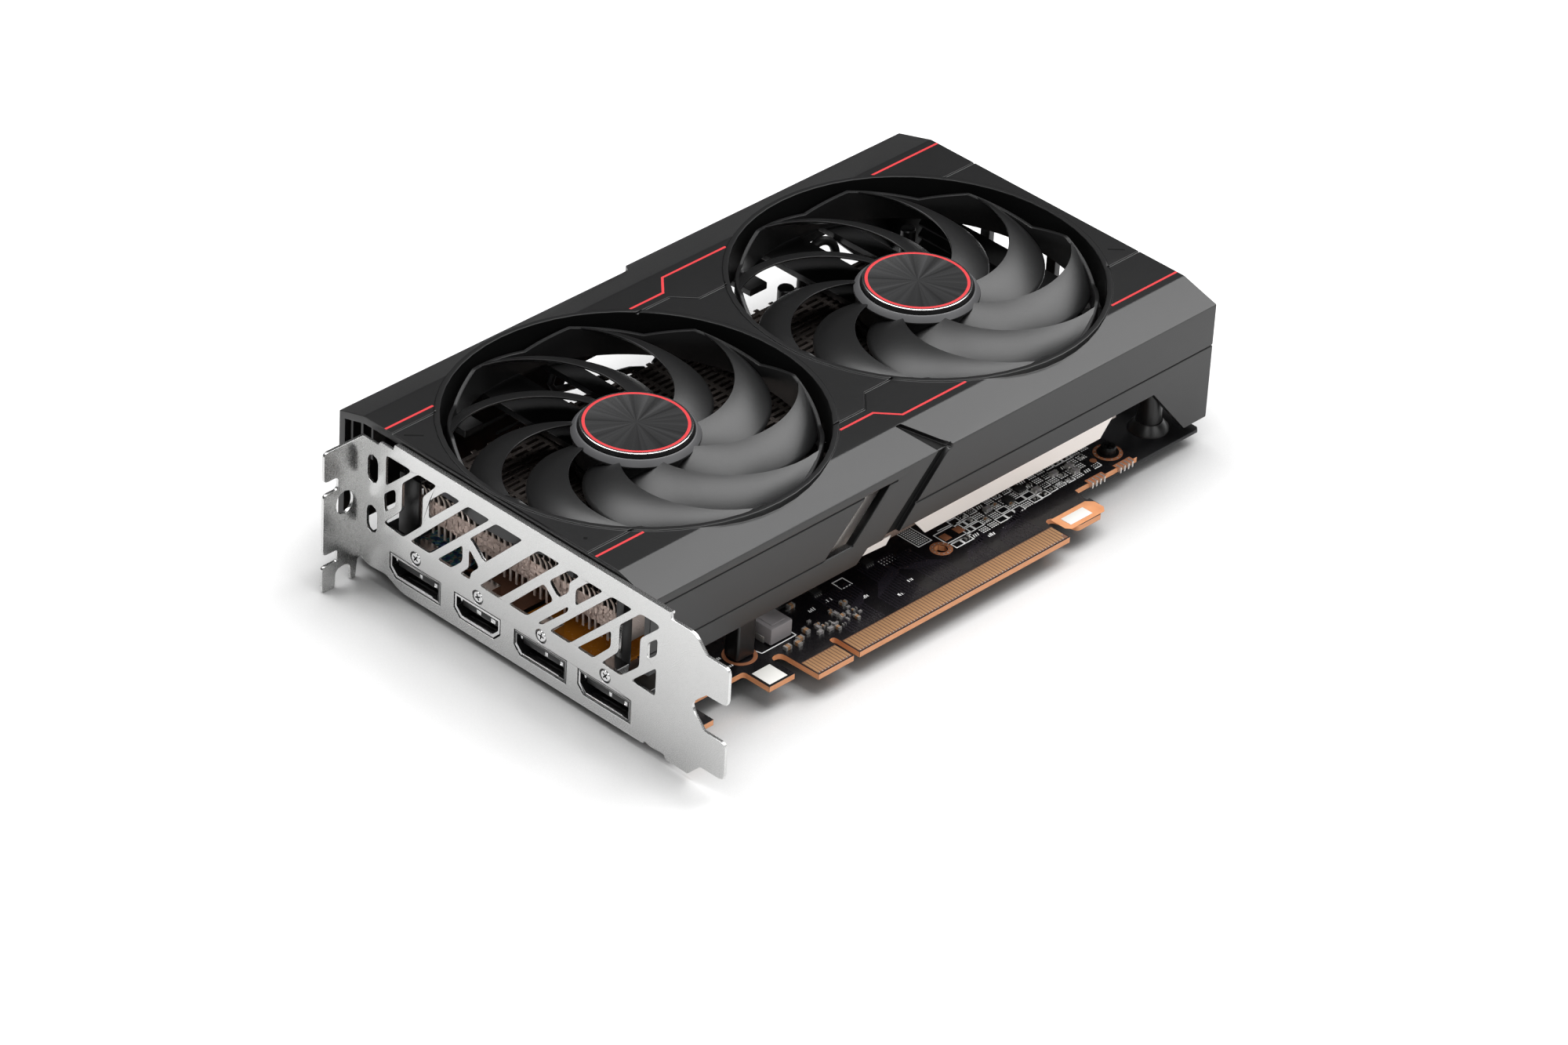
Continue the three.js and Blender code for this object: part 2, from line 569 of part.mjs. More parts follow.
// Three beams run from the far side of the duct; the middle one carries the motor's base.
function fanFrame(x) {
  const low = 24.5;
  const high = DUCT_BOTTOM - GAP;
  const farEnd = FAN_Y + 47.9;
  const beam = (from, to, start) => box(x + from, x + to, FAN_Y + start, farEnd, low, high);
  let frame = join(cylinder(x, FAN_Y, low, high, 14.5, 20), beam(-7.5, 5, 0), beam(12.5, 18, 4),
    beam(-22, -16.2, 34), box(x - 22, x + 18, FAN_Y + 44.6, farEnd, low, high),
    box(x, x + 18, FAN_Y + 4, FAN_Y + 8, low, high));
  for (const degrees of [210, 330]) {
    const arm = new THREE.BoxGeometry(36, 5, high - low);
    arm.translate(30, 0, (low + high) / 2);
    arm.rotateZ(turn(degrees));
    arm.translate(x, FAN_Y, 0);
    const eye = [x + 46.8 * Math.cos(turn(degrees)), FAN_Y + 46.8 * Math.sin(turn(degrees))];
    frame = join(frame, toSolid(arm), cylinder(...eye, low, high, 3, 10));
  }
  return cut(frame, cylinder(x, FAN_Y, 20, 30, 4.4, 20));
}

function placeFan(side) {
  const x = FAN_CENTRES[side];
  place(`fan_rotor_${side}`, 'fan', rotor(x));
  place(`hub_cap_${side}`, 'label', hubCap(x));
  place(`fan_shaft_${side}`, 'steel', cylinder(x, FAN_Y, 26.0, HUB_TOP - 1.7, 1.5, 16));
  place(`fan_magnet_${side}`, 'ferrite', ring(x, FAN_Y, 11.8, 12.8, 28.2, 33.2, 24));
  place(`fan_frame_${side}`, 'plastic', fanFrame(x));
  place(`fan_bearing_${side}`, 'copper', ring(x, FAN_Y, 1.9, 4.0, 25.0, 32.0, 16));
  place(`fan_stator_${side}`, 'copper', ring(x, FAN_Y, 4.4, 10.8, 26.8, 31.6, 24));
}

// ---- Parts on the board -------------------------------------------------------
function port(kind, y) {
  const shell = prism(portOutline(kind, y, 0), 'yz', 0.1, PORT_DEPTH);
  const hollow = prism(portOutline(kind, y, -PORT_WALL), 'yz', -1, PORT_DEPTH - 4);
  const half = PORT_HALF_WIDTH[kind] - 2;
  const tongue = box(1.6, 10, y - half, y + half, 3.2, 4.7);
  const earTop = PORT_SCREW_Z + 2.4;
  const ear = box(1.3, 5.0, y - 2.6, y + 2.6, PORT_FLOOR + PORT_HEIGHT - 0.1, earTop);
  const thread = cylinderAlongX(y, PORT_SCREW_Z, 0, 6, 1.3, 16);
  return cut(join(cut(shell, hollow), tongue, ear), thread);
}

function portScrew(y) {
  const head = cylinderAlongX(y, PORT_SCREW_Z, 0.05, 0.9, 1.6, 20);
  const thread = cylinderAlongX(y, PORT_SCREW_Z, 0.8, 4.6, 1.0, 12);
  const slots = [box(-1, 0.4, y - 1.0, y + 1.0, PORT_SCREW_Z - 0.2, PORT_SCREW_Z + 0.2),
    box(-1, 0.4, y - 0.2, y + 0.2, PORT_SCREW_Z - 1.0, PORT_SCREW_Z + 1.0)];
  return cut(join(head, thread), ...slots);
}

function powerConnector() {
  const x0 = 143.5;
  const pitch = 4.2;
  const y0 = 96.5;
  const y1 = 109.0;
  let housing = box(x0, x0 + pitch * 4 + 2.4, y0, y1, PART_BASE, 12.4);
  for (let column = 0; column < 4; column += 1) {
    for (let row = 0; row < 2; row += 1) {
      const x = x0 + 1.5 + column * pitch;
      const z = PART_BASE + 1.2 + row * 4.4;
      housing = cut(housing, box(x, x + 3.6, y0 + 2, y1 + 1, z, z + 3.6));
    }
  }
  return join(housing, box(x0 + 7.4, x0 + 11.8, y0 + 4, y1 - 1, 12.3, 13.6));
}

function boardScrew() {
  return join(cylinder(163.5, 18.7, PART_BASE, 3.6, 2.8, 20), cylinder(163.5, 18.7, -0.6, 2, 1.3, 12));
}

function placeProcessor() {
  const substrate = 15;
  place('gpu_substrate', 'board',
    box(CHIP_X - substrate, CHIP_X + substrate, CHIP_Y - substrate, CHIP_Y + substrate, PART_BASE, 2.7));
  place('gpu_die', 'silicon', box(CHIP_X - 8, CHIP_X + 8, CHIP_Y - 7, CHIP_Y + 7, 3.0, 3.6));
  const { width, length, top } = MEMORY_CHIP;
  [[-1, -1], [-1, 1], [1, -1], [1, 1]].forEach(([i, j], n) => {
    const x = CHIP_X + 25 * i;
    const y = CHIP_Y - 1 + 11 * j;
    place(`memory_chip_${n + 1}`, 'chip',
      box(x - width / 2, x + width / 2, y - length / 2, y + length / 2, PART_BASE, top));
  });
}

function placeChokes() {
  const choke = (x, y, width, length, top) => prism(
    [[x, y, 1], [x + width, y, 1], [x + width, y + length, 1], [x, y + length, 1]],
    'xy', PART_BASE, top,
  );
  for (let i = 0; i < 5; i += 1) {
    place(`choke_${i + 1}`, 'ferrite', choke(126, 36 + i * 12, CHOKE_SIZE, CHOKE_SIZE, 5.2));
  }
  place('choke_front', 'ferrite', choke(44, 15, 7, 8, 6.6));
}

function roundCapacitor() {
  const radius = 3.15;
  const top = 8.0;
  return turned(55.5, 27.0, [
    [0, PART_BASE], [radius, PART_BASE], [radius, 2.8], [radius - 0.2, 3.0], [radius, 3.2],
    [radius, top - 0.3], [radius - 0.35, top], [0, top],
  ], 16);
}

function placePosts() {
  place('cover_post_front', 'plastic', prism([
    [33.6, 15.5, 0.6], [39.4, 15.5, 0.6], [39.4, 20.0, 0.6], [33.6, 20.0, 0.6],
  ], 'xy', PART_BASE, 30));
  place('cover_post_end', 'plastic', cylinder(182, 22, -0.6, 30, 3.2, 20, 2.2));
}

function fanHeader() {
  return cut(box(90, 100, 98, 104, PART_BASE, 7.5), box(91, 99, 99, 103, 3.2, 9));
}

function fanCable(side) {
  const start = side === 'left' ? [64, 110.6] : [128, 110.6];
  const end = side === 'left' ? 93.4 : 96.6;
  const middle = (start[0] + end) / 2;
  return tube([[start[0], 108.5, 23.2], [start[0], 109.6, 18], [middle, 109.6, 14], [end, 107, 12],
    [end, 101, 9.4]], 1.8, 1.8, 4, 12);
}

// ---- Assembly -------------------------------------------------------------------
place('cover', 'plastic', cover());
place('bracket', 'steel', bracket());
place('circuit_board', 'board', board());
place('backplate', 'darkSteel', backplate());
place('spring_plate', 'steel', springPlate());
chipScrewPlaces().forEach(([x, y], i) => place(`spring_screw_${i + 1}`, 'steel', chipScrew(x, y)));
place('cold_plate', 'copper', coldPlate());
PIPE_Y.forEach((y, i) => place(`heat_pipe_${i + 1}`, 'copper', heatPipe(y)));
place('fin_stack', 'aluminium', finStack());
for (const side of Object.keys(FAN_CENTRES)) {
  placeFan(side);
  place(`fan_cable_${side}`, 'plastic', fanCable(side));
}
for (const { name, kind, y } of PORTS) place(name, 'steel', port(kind, y));
PORTS.forEach(({ y }, i) => place(`port_screw_${i + 1}`, 'steel', portScrew(y)));
placeProcessor();
placeChokes();
placePosts();
place('round_capacitor', 'aluminium', roundCapacitor());
place('power_connector', 'plastic', powerConnector());
place('board_screw', 'darkSteel', boardScrew());
place('fan_header', 'plastic', fanHeader());

export default card;
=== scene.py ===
import math
import random

import bmesh
import bpy
from mathutils import Matrix, Vector


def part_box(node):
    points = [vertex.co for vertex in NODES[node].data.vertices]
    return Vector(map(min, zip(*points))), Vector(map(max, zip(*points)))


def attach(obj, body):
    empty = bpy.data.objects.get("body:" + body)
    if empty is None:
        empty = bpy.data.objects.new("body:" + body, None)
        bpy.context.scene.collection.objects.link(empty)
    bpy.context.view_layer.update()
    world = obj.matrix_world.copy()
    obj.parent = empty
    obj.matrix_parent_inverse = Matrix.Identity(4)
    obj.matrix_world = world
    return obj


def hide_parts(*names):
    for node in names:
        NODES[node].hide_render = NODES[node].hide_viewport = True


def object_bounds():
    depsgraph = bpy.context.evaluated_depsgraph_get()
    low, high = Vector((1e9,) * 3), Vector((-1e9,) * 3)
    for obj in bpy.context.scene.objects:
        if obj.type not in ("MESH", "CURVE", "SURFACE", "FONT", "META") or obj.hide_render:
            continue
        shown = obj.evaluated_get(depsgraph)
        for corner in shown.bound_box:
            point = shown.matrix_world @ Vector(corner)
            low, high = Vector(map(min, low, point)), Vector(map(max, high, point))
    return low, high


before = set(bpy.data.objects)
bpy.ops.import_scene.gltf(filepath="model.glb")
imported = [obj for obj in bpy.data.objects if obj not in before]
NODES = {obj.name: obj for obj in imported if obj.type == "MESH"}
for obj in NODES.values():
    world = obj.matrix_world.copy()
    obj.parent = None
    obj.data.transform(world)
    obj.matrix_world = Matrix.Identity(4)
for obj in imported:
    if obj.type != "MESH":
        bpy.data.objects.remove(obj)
CAD_LOW, CAD_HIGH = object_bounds()

# Lengths below are in millimetres; pieces are scaled to metres when they are made.
MM = 0.001
SIDES = ("left", "right")
FOLD_SEED, PRINT_SEED, PARTS_SEED = 7, 11, 23


def node_box(node):
    """Lowest and highest corners of a CAD node, in millimetres."""
    low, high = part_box(node)
    return [c / MM for c in low], [c / MM for c in high]


def node_centre(node):
    low, high = node_box(node)
    return [(a + b) / 2 for a, b in zip(low, high)]


BOARD_TOP = node_box("circuit_board")[1][2]
COVER_LOW, COVER_HIGH = node_box("cover")
COVER_FACE = 37.5                   # height of the cover's flat face, where the stripes lie
FAN_CENTRES = {side: node_centre(f"fan_rotor_{side}") for side in SIDES}
FIN_HIGH = node_box("fin_stack")[1]


# ---- Materials ---------------------------------------------------------------
def material(name):
    """A new node material with its shader, an object-space coordinate and a link helper."""
    mat = bpy.data.materials.new(name)
    mat.use_nodes = True
    tree = mat.node_tree
    shader = tree.nodes["Principled BSDF"]
    coords = tree.nodes.new("ShaderNodeTexCoord").outputs["Object"]
    return mat, tree, shader, coords


def noise(tree, coords, size_mm, detail=3.0, stretch=(1, 1, 1)):
    """Noise whose features are about size_mm across."""
    mapping = tree.nodes.new("ShaderNodeMapping")
    mapping.inputs["Scale"].default_value = [1 / s for s in stretch]
    tree.links.new(coords, mapping.inputs["Vector"])
    node = tree.nodes.new("ShaderNodeTexNoise")
    node.inputs["Scale"].default_value = 1 / (size_mm * MM)
    node.inputs["Detail"].default_value = detail
    tree.links.new(mapping.outputs[0], node.inputs["Vector"])
    return node.outputs["Fac"]


def ranged(tree, value, low, high):
    """Maps a 0 to 1 value onto low to high."""
    node = tree.nodes.new("ShaderNodeMapRange")
    node.inputs["To Min"].default_value = low
    node.inputs["To Max"].default_value = high
    tree.links.new(value, node.inputs["Value"])
    return node.outputs["Result"]


def mixed(tree, factor, first, second):
    """Mixes two colours by a factor socket; a colour may be a tuple or a socket."""
    node = tree.nodes.new("ShaderNodeMix")
    node.data_type = "RGBA"
    tree.links.new(factor, node.inputs["Factor"])
    for colour, socket in ((first, node.inputs[6]), (second, node.inputs[7])):
        if isinstance(colour, tuple):
            socket.default_value = (*colour, 1)
        else:
            tree.links.new(colour, socket)
    return node.outputs[2]


def bump(tree, shader, height, depth_mm, strength=0.6):
    node = tree.nodes.new("ShaderNodeBump")
    node.inputs["Strength"].default_value = strength
    node.inputs["Distance"].default_value = depth_mm * MM
    tree.links.new(height, node.inputs["Height"])
    tree.links.new(node.outputs["Normal"], shader.inputs["Normal"])


def surface(name, colour, roughness, metallic=0.0, grain=0.25, grain_depth=0.01, variation=0.12,
            roughness_spread=0.08, stretch=(1, 1, 1), coat=0.0, specular=0.5):
    """Moulded, painted or plated stuff: fine grain as bump, slow drift in colour and roughness."""
    mat, tree, shader, coords = material(name)
    drift = noise(tree, coords, 9.0, 4.0)
    fine = noise(tree, coords, grain, 2.0, stretch)
    light = tuple(min(1.0, c * (1 + variation)) for c in colour)
    dark = tuple(c * (1 - variation) for c in colour)
    tree.links.new(mixed(tree, drift, dark, light), shader.inputs["Base Color"])
    rough = tree.nodes.new("ShaderNodeMath")
    rough.operation = "ADD"
    tree.links.new(ranged(tree, fine, -roughness_spread, roughness_spread), rough.inputs[0])
    rough.inputs[1].default_value = roughness
    tree.links.new(rough.outputs[0], shader.inputs["Roughness"])
    shader.inputs["Metallic"].default_value = metallic
    shader.inputs["Specular IOR Level"].default_value = specular
    shader.inputs["Coat Weight"].default_value = coat
    bump(tree, shader, fine, grain_depth)
    return mat


def hub_label_material(name, centre):
    """Glossy black disc with faint spokes in its roughness, as a turned face has, and the same spokes
    painted lighter into its colour as a painted sheen.
    """
    mat, tree, shader, coords = material(name)
    offset = tree.nodes.new("ShaderNodeMapping")
    offset.inputs["Location"].default_value = (-centre[0] * MM, -centre[1] * MM, 0)
    tree.links.new(coords, offset.inputs["Vector"])
    spin = tree.nodes.new("ShaderNodeTexGradient")
    spin.gradient_type = "RADIAL"
    tree.links.new(offset.outputs[0], spin.inputs["Vector"])
    spokes = tree.nodes.new("ShaderNodeTexNoise")
    spokes.noise_dimensions = "1D"
    spokes.inputs["Scale"].default_value = 26.0
    spokes.inputs["Detail"].default_value = 5.0
    tree.links.new(spin.outputs["Fac"], spokes.inputs["W"])
    # Painted sheen: the spokes lighten the base colour from near black.
    tree.links.new(mixed(tree, spokes.outputs["Fac"], (0.004, 0.004, 0.004), (0.03, 0.03, 0.031)),
                   shader.inputs["Base Color"])
    tree.links.new(ranged(tree, spokes.outputs["Fac"], 0.22, 0.5), shader.inputs["Roughness"])
    return mat


def laminate_material(name):
    """Raw edge of the board: warm glass-fibre laminate in thin layers."""
    mat, tree, shader, coords = material(name)
    layers = noise(tree, coords, 0.35, 3.0, (12, 12, 1))
    tree.links.new(mixed(tree, layers, (0.50, 0.19, 0.07), (0.78, 0.36, 0.17)),
                   shader.inputs["Base Color"])
    shader.inputs["Roughness"].default_value = 0.5
    bump(tree, shader, layers, 0.03)
    return mat


def film_material(name):
    """Crumpled protective film: patches of thin-film colour on a dark, shiny sheet."""
    mat, tree, shader, coords = material(name)
    patches = noise(tree, coords, 1.6, 3.0)
    ramp = tree.nodes.new("ShaderNodeValToRGB")
    stops = ((0.30, (0.02, 0.02, 0.03)), (0.42, (0.10, 0.16, 0.42)), (0.50, (0.08, 0.40, 0.26)),
             (0.58, (0.55, 0.42, 0.40)), (0.70, (0.05, 0.04, 0.06)))
    while len(ramp.color_ramp.elements) < len(stops):
        ramp.color_ramp.elements.new(0.5)
    for element, (place, colour) in zip(ramp.color_ramp.elements, stops):
        element.position = place
        element.color = (*colour, 1)
    tree.links.new(patches, ramp.inputs["Fac"])
    tree.links.new(ramp.outputs["Color"], shader.inputs["Base Color"])
    shader.inputs["Metallic"].default_value = 0.7
    shader.inputs["Roughness"].default_value = 0.25
    bump(tree, shader, noise(tree, coords, 0.9, 4.0), 0.25, 0.9)
    return mat


def make_materials():
    look = {}
    black = (0.006, 0.006, 0.0062)
    look["cover"] = surface("cover_plastic", black, 0.36, grain=0.22, grain_depth=0.006)
    # Near-black plastic with weak, rough reflection: painted shade for the fan ducts, the arrow recess, the
    # pin hole and the slats behind the end vents.
    look["bore"] = surface("painted_shade_plastic", (0.003, 0.003, 0.003), 0.55, grain=0.3, specular=0.12)
    look["fan"] = surface("fan_plastic", black, 0.36, grain=0.26, grain_depth=0.022)
    # Grey copy of the black fan plastic for the hub's rounded shoulder: a painted highlight.
    look["hub_rim"] = surface("hub_rim_highlight_plastic", (0.075, 0.075, 0.078), 0.45, grain=0.26)
    look["red"] = surface("red_paint", (0.50, 0.035, 0.04), 0.4, grain=0.15, grain_depth=0.003)
    look["nickel"] = surface("nickel_plate", (0.60, 0.60, 0.595), 0.27, 1.0, grain=0.18,
                             grain_depth=0.002, variation=0.03, roughness_spread=0.04)
    look["steel"] = surface("plain_steel", (0.62, 0.61, 0.60), 0.28, 1.0, grain=0.12,
                            grain_depth=0.003, variation=0.06, stretch=(6, 1, 1))
    look["bright"] = surface("bright_steel", (0.82, 0.82, 0.82), 0.16, 1.0, grain=0.2,
                             grain_depth=0.001, variation=0.03)
    look["black_steel"] = surface("black_steel", (0.02, 0.02, 0.02), 0.35, 0.8, grain=0.15)
    look["backplate"] = surface("backplate_paint", (0.008, 0.008, 0.009), 0.45, 0.2, grain=0.35,
                                grain_depth=0.015)
    # Fin metal coloured far darker than bare aluminium: painted shade for the fins under the cover and
    # fans.
    look["fins"] = surface("fin_aluminium", (0.30, 0.26, 0.24), 0.30, 1.0, grain=0.4,
                           grain_depth=0.01, variation=0.1)
    look["fin_ends"] = surface("fin_end_nickel", (0.62, 0.49, 0.43), 0.36, 0.6, grain=0.55,
                               grain_depth=0.3, variation=0.4)
    # Light copy of the fin metal for the hooks and tabs at the fin ends: a painted highlight.
    look["hook"] = surface("fin_hook_highlight", (0.86, 0.74, 0.67), 0.34, 0.45, grain=0.3)
    # Near-white, mostly matt copy of the fin metal for the outermost fin: painted light.
    look["apron"] = surface("apron_aluminium_painted_light", (0.98, 0.91, 0.86), 0.5, 0.1, grain=0.5,
                            grain_depth=0.01, variation=0.04)
    look["copper"] = surface("bare_copper", (0.80, 0.42, 0.26), 0.30, 1.0, grain=0.3, variation=0.15)
    look["bronze"] = surface("sintered_bronze", (0.55, 0.38, 0.20), 0.5, 1.0, grain=0.2)
    look["gold"] = surface("contact_gold", (0.52, 0.30, 0.15), 0.42, 0.75, grain=0.15,
                           grain_depth=0.002, stretch=(1, 8, 1))
    look["pad"] = surface("copper_pad", (0.55, 0.22, 0.11), 0.42, 0.5, grain=0.2)
    look["solder"] = surface("solder_tin", (0.75, 0.73, 0.70), 0.30, 0.8, grain=0.15, grain_depth=0.01)
    look["mask"] = surface("solder_mask", (0.0045, 0.0040, 0.0050), 0.30, grain=0.5,
                           grain_depth=0.006, variation=0.25, coat=0.2)
    look["trace"] = surface("covered_trace", (0.013, 0.011, 0.015), 0.28, grain=0.3)
    look["print"] = surface("board_print", (0.95, 0.95, 0.94), 0.6, grain=0.1, variation=0.05)
    look["laminate"] = laminate_material("board_laminate")
    look["paper"] = surface("blank_label", (0.72, 0.71, 0.68), 0.55, grain=0.2, variation=0.04)
    look["chip"] = surface("chip_epoxy", (0.012, 0.012, 0.012), 0.5, grain=0.12, grain_depth=0.01)
    look["silicon"] = surface("polished_silicon", (0.25, 0.26, 0.28), 0.1, 0.8, grain=0.3)
    look["ferrite"] = surface("pressed_ferrite", (0.24, 0.225, 0.23), 0.5, grain=0.2, grain_depth=0.02)
    look["tan"] = surface("ceramic_tan", (0.30, 0.17, 0.09), 0.5, grain=0.15)
    look["insert"] = surface("connector_black", (0.005, 0.005, 0.005), 0.38, grain=0.2)
    look["violet"] = surface("violet_grey_tape", (0.05, 0.045, 0.06), 0.4, grain=0.5, variation=0.2)
    look["cable"] = surface("cable_sleeve", (0.008, 0.008, 0.008), 0.5, grain=0.4, grain_depth=0.03)
    look["winding"] = surface("enamel_winding", (0.56, 0.24, 0.1), 0.3, 0.9, grain=0.3, grain_depth=0.04)
    look["amber"] = surface("amber_tape", (0.50, 0.17, 0.015), 0.25, grain=0.8, grain_depth=0.05,
                            variation=0.35)
    look["brown"] = surface("brown_tape", (0.16, 0.075, 0.045), 0.4, grain=0.8, variation=0.3)
    look["film"] = film_material("crumpled_film")
    return look


LOOK = make_materials()


# ---- Mesh helpers --------------------------------------------------------------
def new_object(name, bm, materials):
    """Puts a bmesh in millimetres into the scene as an object in metres."""
    bmesh.ops.scale(bm, vec=(MM, MM, MM), verts=bm.verts)
    mesh = bpy.data.meshes.new(name)
    bm.to_mesh(mesh)
    bm.free()
    for item in materials:
        mesh.materials.append(item)
    obj = bpy.data.objects.new(name, mesh)
    bpy.context.scene.collection.objects.link(obj)
    return obj


def finish_piece(name, bm, looks, body="card", stands_for=None, sharp=32.0):
    """Turns a bmesh in millimetres into a shown piece that rides on a CAD body.

    looks names its materials in the order of their indices, and edges that turn by
    more than sharp degrees stay sharp.
    """
    bmesh.ops.recalc_face_normals(bm, faces=bm.faces)
    limit = math.radians(sharp)
    for face in bm.faces:
        face.smooth = True
    for edge in bm.edges:
        edge.smooth = len(edge.link_faces) == 2 and edge.calc_face_angle(math.pi) < limit
    obj = new_object(name, bm, [LOOK[look] for look in looks.split()])
    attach(obj, body)
    if stands_for:
        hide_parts(stands_for)
    return obj


def add_box(bm, low, high, index=0, bevel=0.0):
    """A box between two (x, y, z) corners, with rounded edges if bevel is given."""
    size = [b - a for a, b in zip(low, high)]
    centre = [(a + b) / 2 for a, b in zip(low, high)]
    matrix = Matrix.Translation(centre) @ Matrix.Diagonal((*size, 1))
    before = set(bm.faces)
    made = bmesh.ops.create_cube(bm, size=1.0, matrix=matrix)
    if bevel:
        edges = {e for v in made["verts"] for e in v.link_edges}
        bmesh.ops.bevel(bm, geom=list(edges), offset=bevel, segments=2, profile=0.5, affect="EDGES")
    for face in set(bm.faces) - before:
        face.material_index = index


def add_lathe(bm, centre, profile, steps=96, index=0, closed=True, indices=None):
    """Turns a profile of (radius, z) about a vertical axis; radius 0 ends on the axis."""
    rings = []
    for radius, z in profile:
        if radius < 1e-6:
            rings.append([bm.verts.new((centre[0], centre[1], z))])
            continue
        ring = []
        for i in range(steps):
            angle = math.tau * i / steps
            point = (centre[0] + radius * math.cos(angle), centre[1] + radius * math.sin(angle), z)
            ring.append(bm.verts.new(point))
        rings.append(ring)
    pairs = list(zip(rings, rings[1:]))
    if closed:
        pairs.append((rings[-1], rings[0]))
    for k, (a, b) in enumerate(pairs):
        if len(a) == 1 and len(b) == 1:
            continue
        for i in range(steps):
            j = (i + 1) % steps
            corners = [a[i % len(a)], a[j % len(a)], b[j % len(b)], b[i % len(b)]]
            unique = list(dict.fromkeys(corners))
            if len(unique) >= 3:
                face = bm.faces.new(unique)
                face.material_index = indices[k] if indices else index


def join_loops(bm, a, b):
    """Faces between two closed loops with the same number of vertices."""
    return [bm.faces.new((a[k - 1], a[k], b[k], b[k - 1])) for k in range(len(a))]


def add_prism(bm, first, second, index=0):
    """A closed body between two outlines with the same number of (x, y, z) corners."""
    first, second = ([bm.verts.new(p) for p in outline] for outline in (first, second))
    faces = [bm.faces.new(first), bm.faces.new(second[::-1])]
    for face in faces + join_loops(bm, first, second):
        face.material_index = index


def add_grid(bm, rows, columns, place):
    """Vertices in rows and columns; place(row, column) gives each one's position."""
    return [[bm.verts.new(place(r, c)) for c in range(columns + 1)] for r in range(rows + 1)]


def close_sheets(bm, top, low, index=0):
    """Joins two grids of the same size into one closed body."""
    rows, columns = len(top) - 1, len(top[0]) - 1
    faces = []
    for sheet in (top, low):
        for r in range(rows):
            for c in range(columns):
                faces.append(bm.faces.new((sheet[r][c], sheet[r][c + 1], sheet[r + 1][c + 1],
                                           sheet[r + 1][c])))
    rim = [(r, 0) for r in range(rows)] + [(rows, c) for c in range(columns)]
    rim += [(r, columns) for r in range(rows, 0, -1)] + [(0, c) for c in range(columns, 0, -1)]
    for (r, c), (r2, c2) in zip(rim, rim[1:] + rim[:1]):
        faces.append(bm.faces.new((top[r][c], top[r2][c2], low[r2][c2], low[r][c])))
    for face in faces:
        face.material_index = index


def add_tube(bm, points, radius, sides):
    """A round bar along a polyline of Vectors, closed at both ends."""
    rings = []
    for i, point in enumerate(points):
        ahead = points[min(i + 1, len(points) - 1)]
        behind = points[max(i - 1, 0)]
        along = (ahead - behind).normalized()
        side = along.cross(Vector((0, 0, 1)) if abs(along.z) < 0.9 else Vector((1, 0, 0))).normalized()
        up = side.cross(along)
        rings.append([bm.verts.new(point + (side * math.cos(t) + up * math.sin(t)) * radius)
                      for t in (math.tau * k / sides for k in range(sides))])
    for a, b in zip(rings, rings[1:]):
        join_loops(bm, a, b)
    bm.faces.new(rings[0])
    bm.faces.new(rings[-1][::-1])


def spline(points, steps):
    """Catmull-Rom points through the given ones."""
    pts = [Vector(p) for p in points]
    pts = [pts[0] * 2 - pts[1]] + pts + [pts[-1] * 2 - pts[-2]]
    out = []
    for a, b, c, d in zip(pts, pts[1:], pts[2:], pts[3:]):
        for k in range(steps):
            t = k / steps
            out.append(0.5 * (2 * b + (c - a) * t + (2 * a - 5 * b + 4 * c - d) * t * t
                              + (3 * b - a - 3 * c + d) * t ** 3))
    out.append(pts[-2])
    return out


def copy_node(node, merge_flats=True):
    """The CAD node as a clean bmesh in millimetres: welded, and with flat areas as single faces."""
    bm = bmesh.new()
    bm.from_mesh(NODES[node].data)
    bmesh.ops.scale(bm, vec=(1 / MM,) * 3, verts=bm.verts)
    bmesh.ops.remove_doubles(bm, verts=bm.verts, dist=0.002)
    if merge_flats:
        bmesh.ops.dissolve_limit(bm, angle_limit=math.radians(0.8), verts=bm.verts, edges=bm.edges,
                                 delimit={"MATERIAL"})
    return bm


def soften(bm, width, angle):
    """Rounds every edge that turns by more than angle degrees."""
    limit = math.radians(angle)
    sharp = [e for e in bm.edges if len(e.link_faces) == 2 and e.calc_face_angle(0) > limit]
    bmesh.ops.bevel(bm, geom=sharp, offset=width, offset_type="OFFSET", segments=2,
                    profile=0.5, affect="EDGES", clamp_overlap=False, miter_outer="ARC")


def refine(node, name, looks, width, angle, pick=None, body="card", merge_flats=True):
    """A finished copy of a CAD node with rounded edges; pick(face) gives a face's material index."""
    bm = copy_node(node, merge_flats)
    if pick:
        for face in bm.faces:
            face.material_index = pick(face)
    soften(bm, width, angle)
    obj = finish_piece(name, bm, looks, body=body, stands_for=node)
    weighted = obj.modifiers.new("weighted_normals", "WEIGHTED_NORMAL")
    weighted.keep_sharp = True


def add_disc(bm, centre, radius, z0, z1, index=0, hole=0.0, steps=32):
    """An upright disc, or a ring if it has a hole."""
    if hole:
        profile = [(hole, z0), (radius, z0), (radius, z1), (hole, z1)]
    else:
        profile = [(0, z0), (radius, z0), (radius, z1), (0, z1)]
    add_lathe(bm, centre, profile, steps=steps, index=index, closed=bool(hole))


